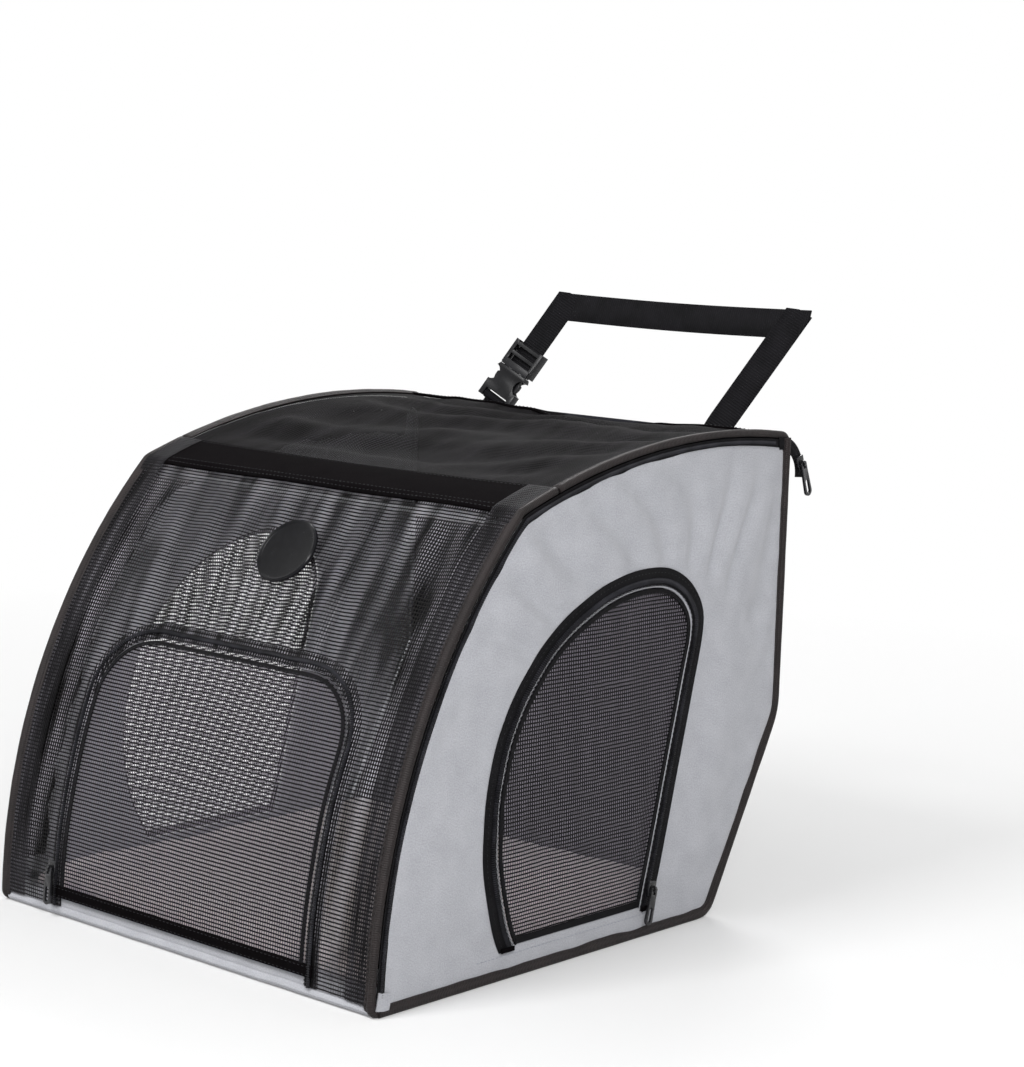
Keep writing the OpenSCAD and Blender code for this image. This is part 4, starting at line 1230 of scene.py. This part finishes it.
def leg_width(turned):
    """The width runs straight across at the foot and turns with the leaning leg above it."""
    return lambda t: X.lerp(lean @ X, smooth(0.2, 0.35, t) * turned)


right_leg = webbing_strip(resampled(leg_line(STRAP_X, STRAP_LENGTH), 0.003), leg_width(1))
BUCKLE_TOP = 0.045                 # height on the left leg at which the webbing leaves the buckle
left_leg_line = [leg_point(-STRAP_X, BUCKLE_TOP + (STRAP_LENGTH - BUCKLE_TOP) * i / 24) for i in range(25)]
left_leg = webbing_strip(left_leg_line, lambda t: lean @ X)
cross_height = STRAP_LENGTH - WEB_W / 2
cross_ends = [leg_point(x, cross_height, 0) for x in (-STRAP_X, STRAP_X)]
cross_line = [cross_ends[0].lerp(cross_ends[1], -0.06 + 1.12 * i / 50) + level_lean @ Y * WEB_T * 1.5
              - Z * 0.002 * math.sin(math.pi * i / 50) for i in range(51)]
cross_web = webbing_strip(cross_line, lambda t: level_lean @ Z)


TRIM = WEB_W / 2 - 0.0004          # the webbing is cut off just inside the other strip's edge
top_way, leg_across = level_lean @ Z, lean @ X
for leg in (right_leg, left_leg):
    trimmed(leg, cross_ends[1] + top_way * TRIM, top_way)
trimmed(cross_web, cross_ends[1] + leg_across * TRIM, leg_across)
trimmed(cross_web, cross_ends[0] - leg_across * TRIM, -leg_across)
make("headrest_webbing", joined([right_leg, left_leg, cross_web]), "body", webbing,
     ["headrest_strap"])

EYE_R = 0.00305                    # the webbing goes round the buckle's bar with this radius
eye_c = leg_point(-STRAP_X, 0.0142, WEB_T / 2 - EYE_R)
eye = [eye_c + lean @ Vector((0, EYE_R * math.cos(a), EYE_R * math.sin(a)))
       for a in (math.radians(300 * i / 20) for i in range(21))]
short_line = leg_line(-STRAP_X, 0.0138)[:10] + [leg_point(-STRAP_X, 0.004 + 0.0095 * i / 6) for i in range(7)]
make("buckle_webbing", webbing_strip(short_line + eye, leg_width(1)), "body", webbing,
     ["buckle_strap"])

# %% Patches and belt loops
LOOP_W, LOOP_X, LOOP_Z = 0.038, 0.075, 0.245     # a belt loop's width and place
LOOP_HALF, LOOP_BOW = 0.055, 0.014               # half its length, and how far it stands off the back
bow_r = (LOOP_HALF ** 2 + LOOP_BOW ** 2) / (2 * LOOP_BOW)
bow_angles = [math.asin(LOOP_HALF / bow_r) * (i / 18 - 1) for i in range(37)]
for label, side in SIDES:
    patch_line = [Vector((side * STRAP_X, REAR_Y + 0.0021, 0.326 + 0.003 * i)) for i in range(11)]
    patch = [(point, X, Y, 1.0) for point in patch_line]
    make(f"strap_patch_cloth_{label}", swept(web_section(LOOP_W, 0.0012), patch), "body", black_cloth,
         [f"strap_patch_{label}"])
    bow_c = Vector((side * LOOP_X, REAR_Y + 0.0008 + LOOP_BOW - bow_r, LOOP_Z))
    loop_stops = []
    for a in bow_angles:
        out = Y * math.cos(a) + Z * math.sin(a)
        loop_stops.append((bow_c + out * bow_r, X, out, 1.0))
    make(f"belt_loop_web_{label}", swept(web_section(LOOP_W, 0.0016), loop_stops), "body", webbing,
         [f"belt_loop_{label}"])

# %% [markdown]
# ## Moulded and cast parts
# Sliders, pulls and buckle have the right shape in the CAD model already. Real mouldings have no sharp
# edges, so each gets a copy with its flat faces joined and its edges bevelled, which catch the light. The label
# is spun anew.

# %% Rounded copies of hard parts
def rounded(node, width, finish, body):
    shape = cad_copy(node)
    bmesh.ops.dissolve_limit(shape, angle_limit=math.radians(0.5), verts=shape.verts, edges=shape.edges)
    hard = [e for e in shape.edges if len(e.link_faces) == 2 and e.calc_face_angle(0) > math.radians(28)]
    bmesh.ops.bevel(shape, geom=hard, affect="EDGES", offset=width, segments=2, profile=0.5, material=-1,
                    clamp_overlap=True)
    return make(f"{node}_finished", shape, body, finish, [node], sharp=35)


node_body = {node: body for body, nodes in frame["record"]["behaviour"]["bodies"].items() for node in nodes}
for node in frame["nodes"]:
    if node.removesuffix("_right").removesuffix("_left").endswith(("slider", "pull")):
        rounded(node, 0.0003, painted_zinc, node_body[node])
rounded("buckle_socket", 0.0004, acetal, "body")
rounded("buckle_plug", 0.0003, acetal, "buckle_plug")

# %% Label
# The round label is a moulded disc with a raised rim, spun from its half profile. Its face is left bare.
label_low, label_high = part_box("label_disc")
label_r = (label_high.x - label_low.x) / 2
half_profile = [(0, 0), (label_r, 0), (label_r + 0.0002, 0.0011), (label_r - 0.0004, 0.0022),
                (label_r - 0.0013, 0.0029), (label_r - 0.0022, 0.0027), (label_r - 0.0028, 0.0019),
                (label_r - 0.0036, 0.0017), (0, 0.0019)]
disc = spun(half_profile)
out = Vector((0, *edge(LABEL_SPOT.y)[1]))
stand = Matrix((X, out.cross(X), out)).transposed().to_4x4()
stand.translation = (label_low + label_high) / 2 - out * 0.0015
bmesh.ops.transform(disc, matrix=stand, verts=disc.verts)
make("label_disc_finished", disc, "body", label_plastic, ["label_disc"], sharp=50)

# %% Corner folds
# At the front foot of each side the sill's canvas is folded round the corner and sewn over the zip's end.
for label, side in SIDES:
    fold_line = [Vector((FRONT_Y + 0.0035 + 0.001 * i, 0.0125 - 0.0002 * i)) for i in range(13)]
    fold = flat_tape(-0.0062, 0.0068, 0.0014, fold_line, side_ground(side, waves=False), 0.0008)
    make(f"corner_fold_{label}", fold, "body", grey_canvas, sharp=50)

# %% [markdown]
# ## Stitching
# A seam's thread shows for about 3 mm and then dives into the cloth. So each row of stitches is one thin
# thread whose path rises above the cloth and goes under it by turns. Real bonded thread is 0.3 mm thick; here
# it is 0.5 mm, so that it shows.

# %% Threads
STITCH, CLOSE_STITCH = 0.0042, 0.0034            # from one stitch to the next
LINE_STEP = 0.003
THREAD = [(0.00027 * math.cos(a), 0.00022 * math.sin(a)) for a in (0, math.pi / 2, math.pi, 3 * math.pi / 2)]
RISES = (-0.0007, 0.0002, 0.0002, -0.0007)


def thread(points, ground, lift, pitch=STITCH):
    """One row of stitches along a flat line on a ground."""
    line = resampled(points, pitch / 4)
    found = stops(line, ground, lift)
    return swept(THREAD, [(origin + out * RISES[i % 4], across, out, 1.0)
                          for i, (origin, across, out, _) in enumerate(found)])


def straight(x0, s0, x1, s1):
    return [Vector((x0, s0)), Vector((x1, s1))]


for label, side in SIDES:
    ground = side_ground(side)
    rows = [thread(walk(inset, LINE_STEP, 0.021), ground, 0.0010) for inset in (0.0038, 0.0139)]
    make(f"window_stitches_{label}", joined(rows), "body", sewing_thread, sharp=0)
    rows = [thread(straight(FRONT_Y + 0.105, 0.0178, FRONT_Y + 0.297, 0.0178), ground, 0.0002),
            thread(straight(FRONT_Y + 0.0125, 0.0075, FRONT_Y + 0.0125, 0.0170),
                   side_ground(side, waves=False), 0.0021, CLOSE_STITCH)]
    make(f"window_foot_stitches_{label}", joined(rows), "body", grey_thread, sharp=0)
    make(f"side_door_stitches_{label}", thread(walk(0.0192, LINE_STEP, DOOR_FOOT), ground, 0.0010),
         f"side_door_{label}", sewing_thread, sharp=0)

bound = HALF - 0.0063
body_rows = [thread(door_line(inset, LINE_STEP), cover_ground, -0.0002) for inset in (-0.0055, 0.0036)]
for side in (-1, 1):
    body_rows.append(thread(straight(side * bound, 0.008, side * bound, BAND_S - 0.002), cover_ground, 0.0015))
for s in (KINK_S - 0.001, KINK_S + 0.004, BAND_S - 0.0025):
    body_rows.append(thread(straight(0.012 - HALF, s, HALF - 0.012, s), cover_ground, 0.0015))
for s in (HEM_S - 0.0015, 0.0172):
    body_rows.append(thread(straight(-0.14, s, 0.14, s), cover_ground, 0.0012))
make("cover_stitches", joined(body_rows), "body", sewing_thread, sharp=0)
make("front_door_stitches", thread(door_line(0.0093, LINE_STEP, HEM_S), cover_ground, 0.0010), "front_door",
     sewing_thread, sharp=0)
flap_rows = [thread(straight(side * bound, BAND_S + 0.002, side * bound, EDGE_S - 0.010), cover_ground, 0.0015)
             for side in (-1, 1)]
for s in (EDGE_S - 0.0145, EDGE_S - 0.003):
    flap_rows.append(thread(straight(0.013 - HALF, s, HALF - 0.013, s), cover_ground, 0.0015))
make("top_flap_stitches", joined(flap_rows), "top_flap", sewing_thread, sharp=0)


def front_face(point, lift=0.0):
    """The upright strip of the sill, with x and height as its flat coordinates."""
    return Vector((point[0], FRONT_Y + 0.0023 - lift, point[1])), X, Z, -Y


def back_face(point, lift=0.0):
    """The back's upper plane, with x and height as its flat coordinates."""
    return Vector((point[0], REAR_Y + lift, point[1])), X, Z, Y


make("sill_stitches", thread(straight(-0.14, 0.0143, 0.14, 0.0143), front_face, 0.0001), "body", grey_thread,
     sharp=0)
crosses = []
for side in (-1, 1):
    x, low, high, half = side * STRAP_X, 0.328, 0.354, 0.0165
    corners = [Vector((x - half, low)), Vector((x + half, low)), Vector((x + half, high)),
               Vector((x - half, high))]
    for start, end in ((0, 1), (1, 2), (2, 3), (3, 0), (0, 2), (1, 3)):      # a boxed cross
        crosses.append(thread([corners[start], corners[end]], back_face, 0.0028, CLOSE_STITCH))
    for z in (LOOP_Z - 0.0525, LOOP_Z + 0.0525):
        loop_x = side * LOOP_X
        crosses.append(thread(straight(loop_x - 0.016, z, loop_x + 0.016, z), back_face, 0.0026))
make("back_stitches", joined(crosses), "body", sewing_thread, sharp=0)
print("rows of stitches are", STITCH * 1000, "mm to the stitch")
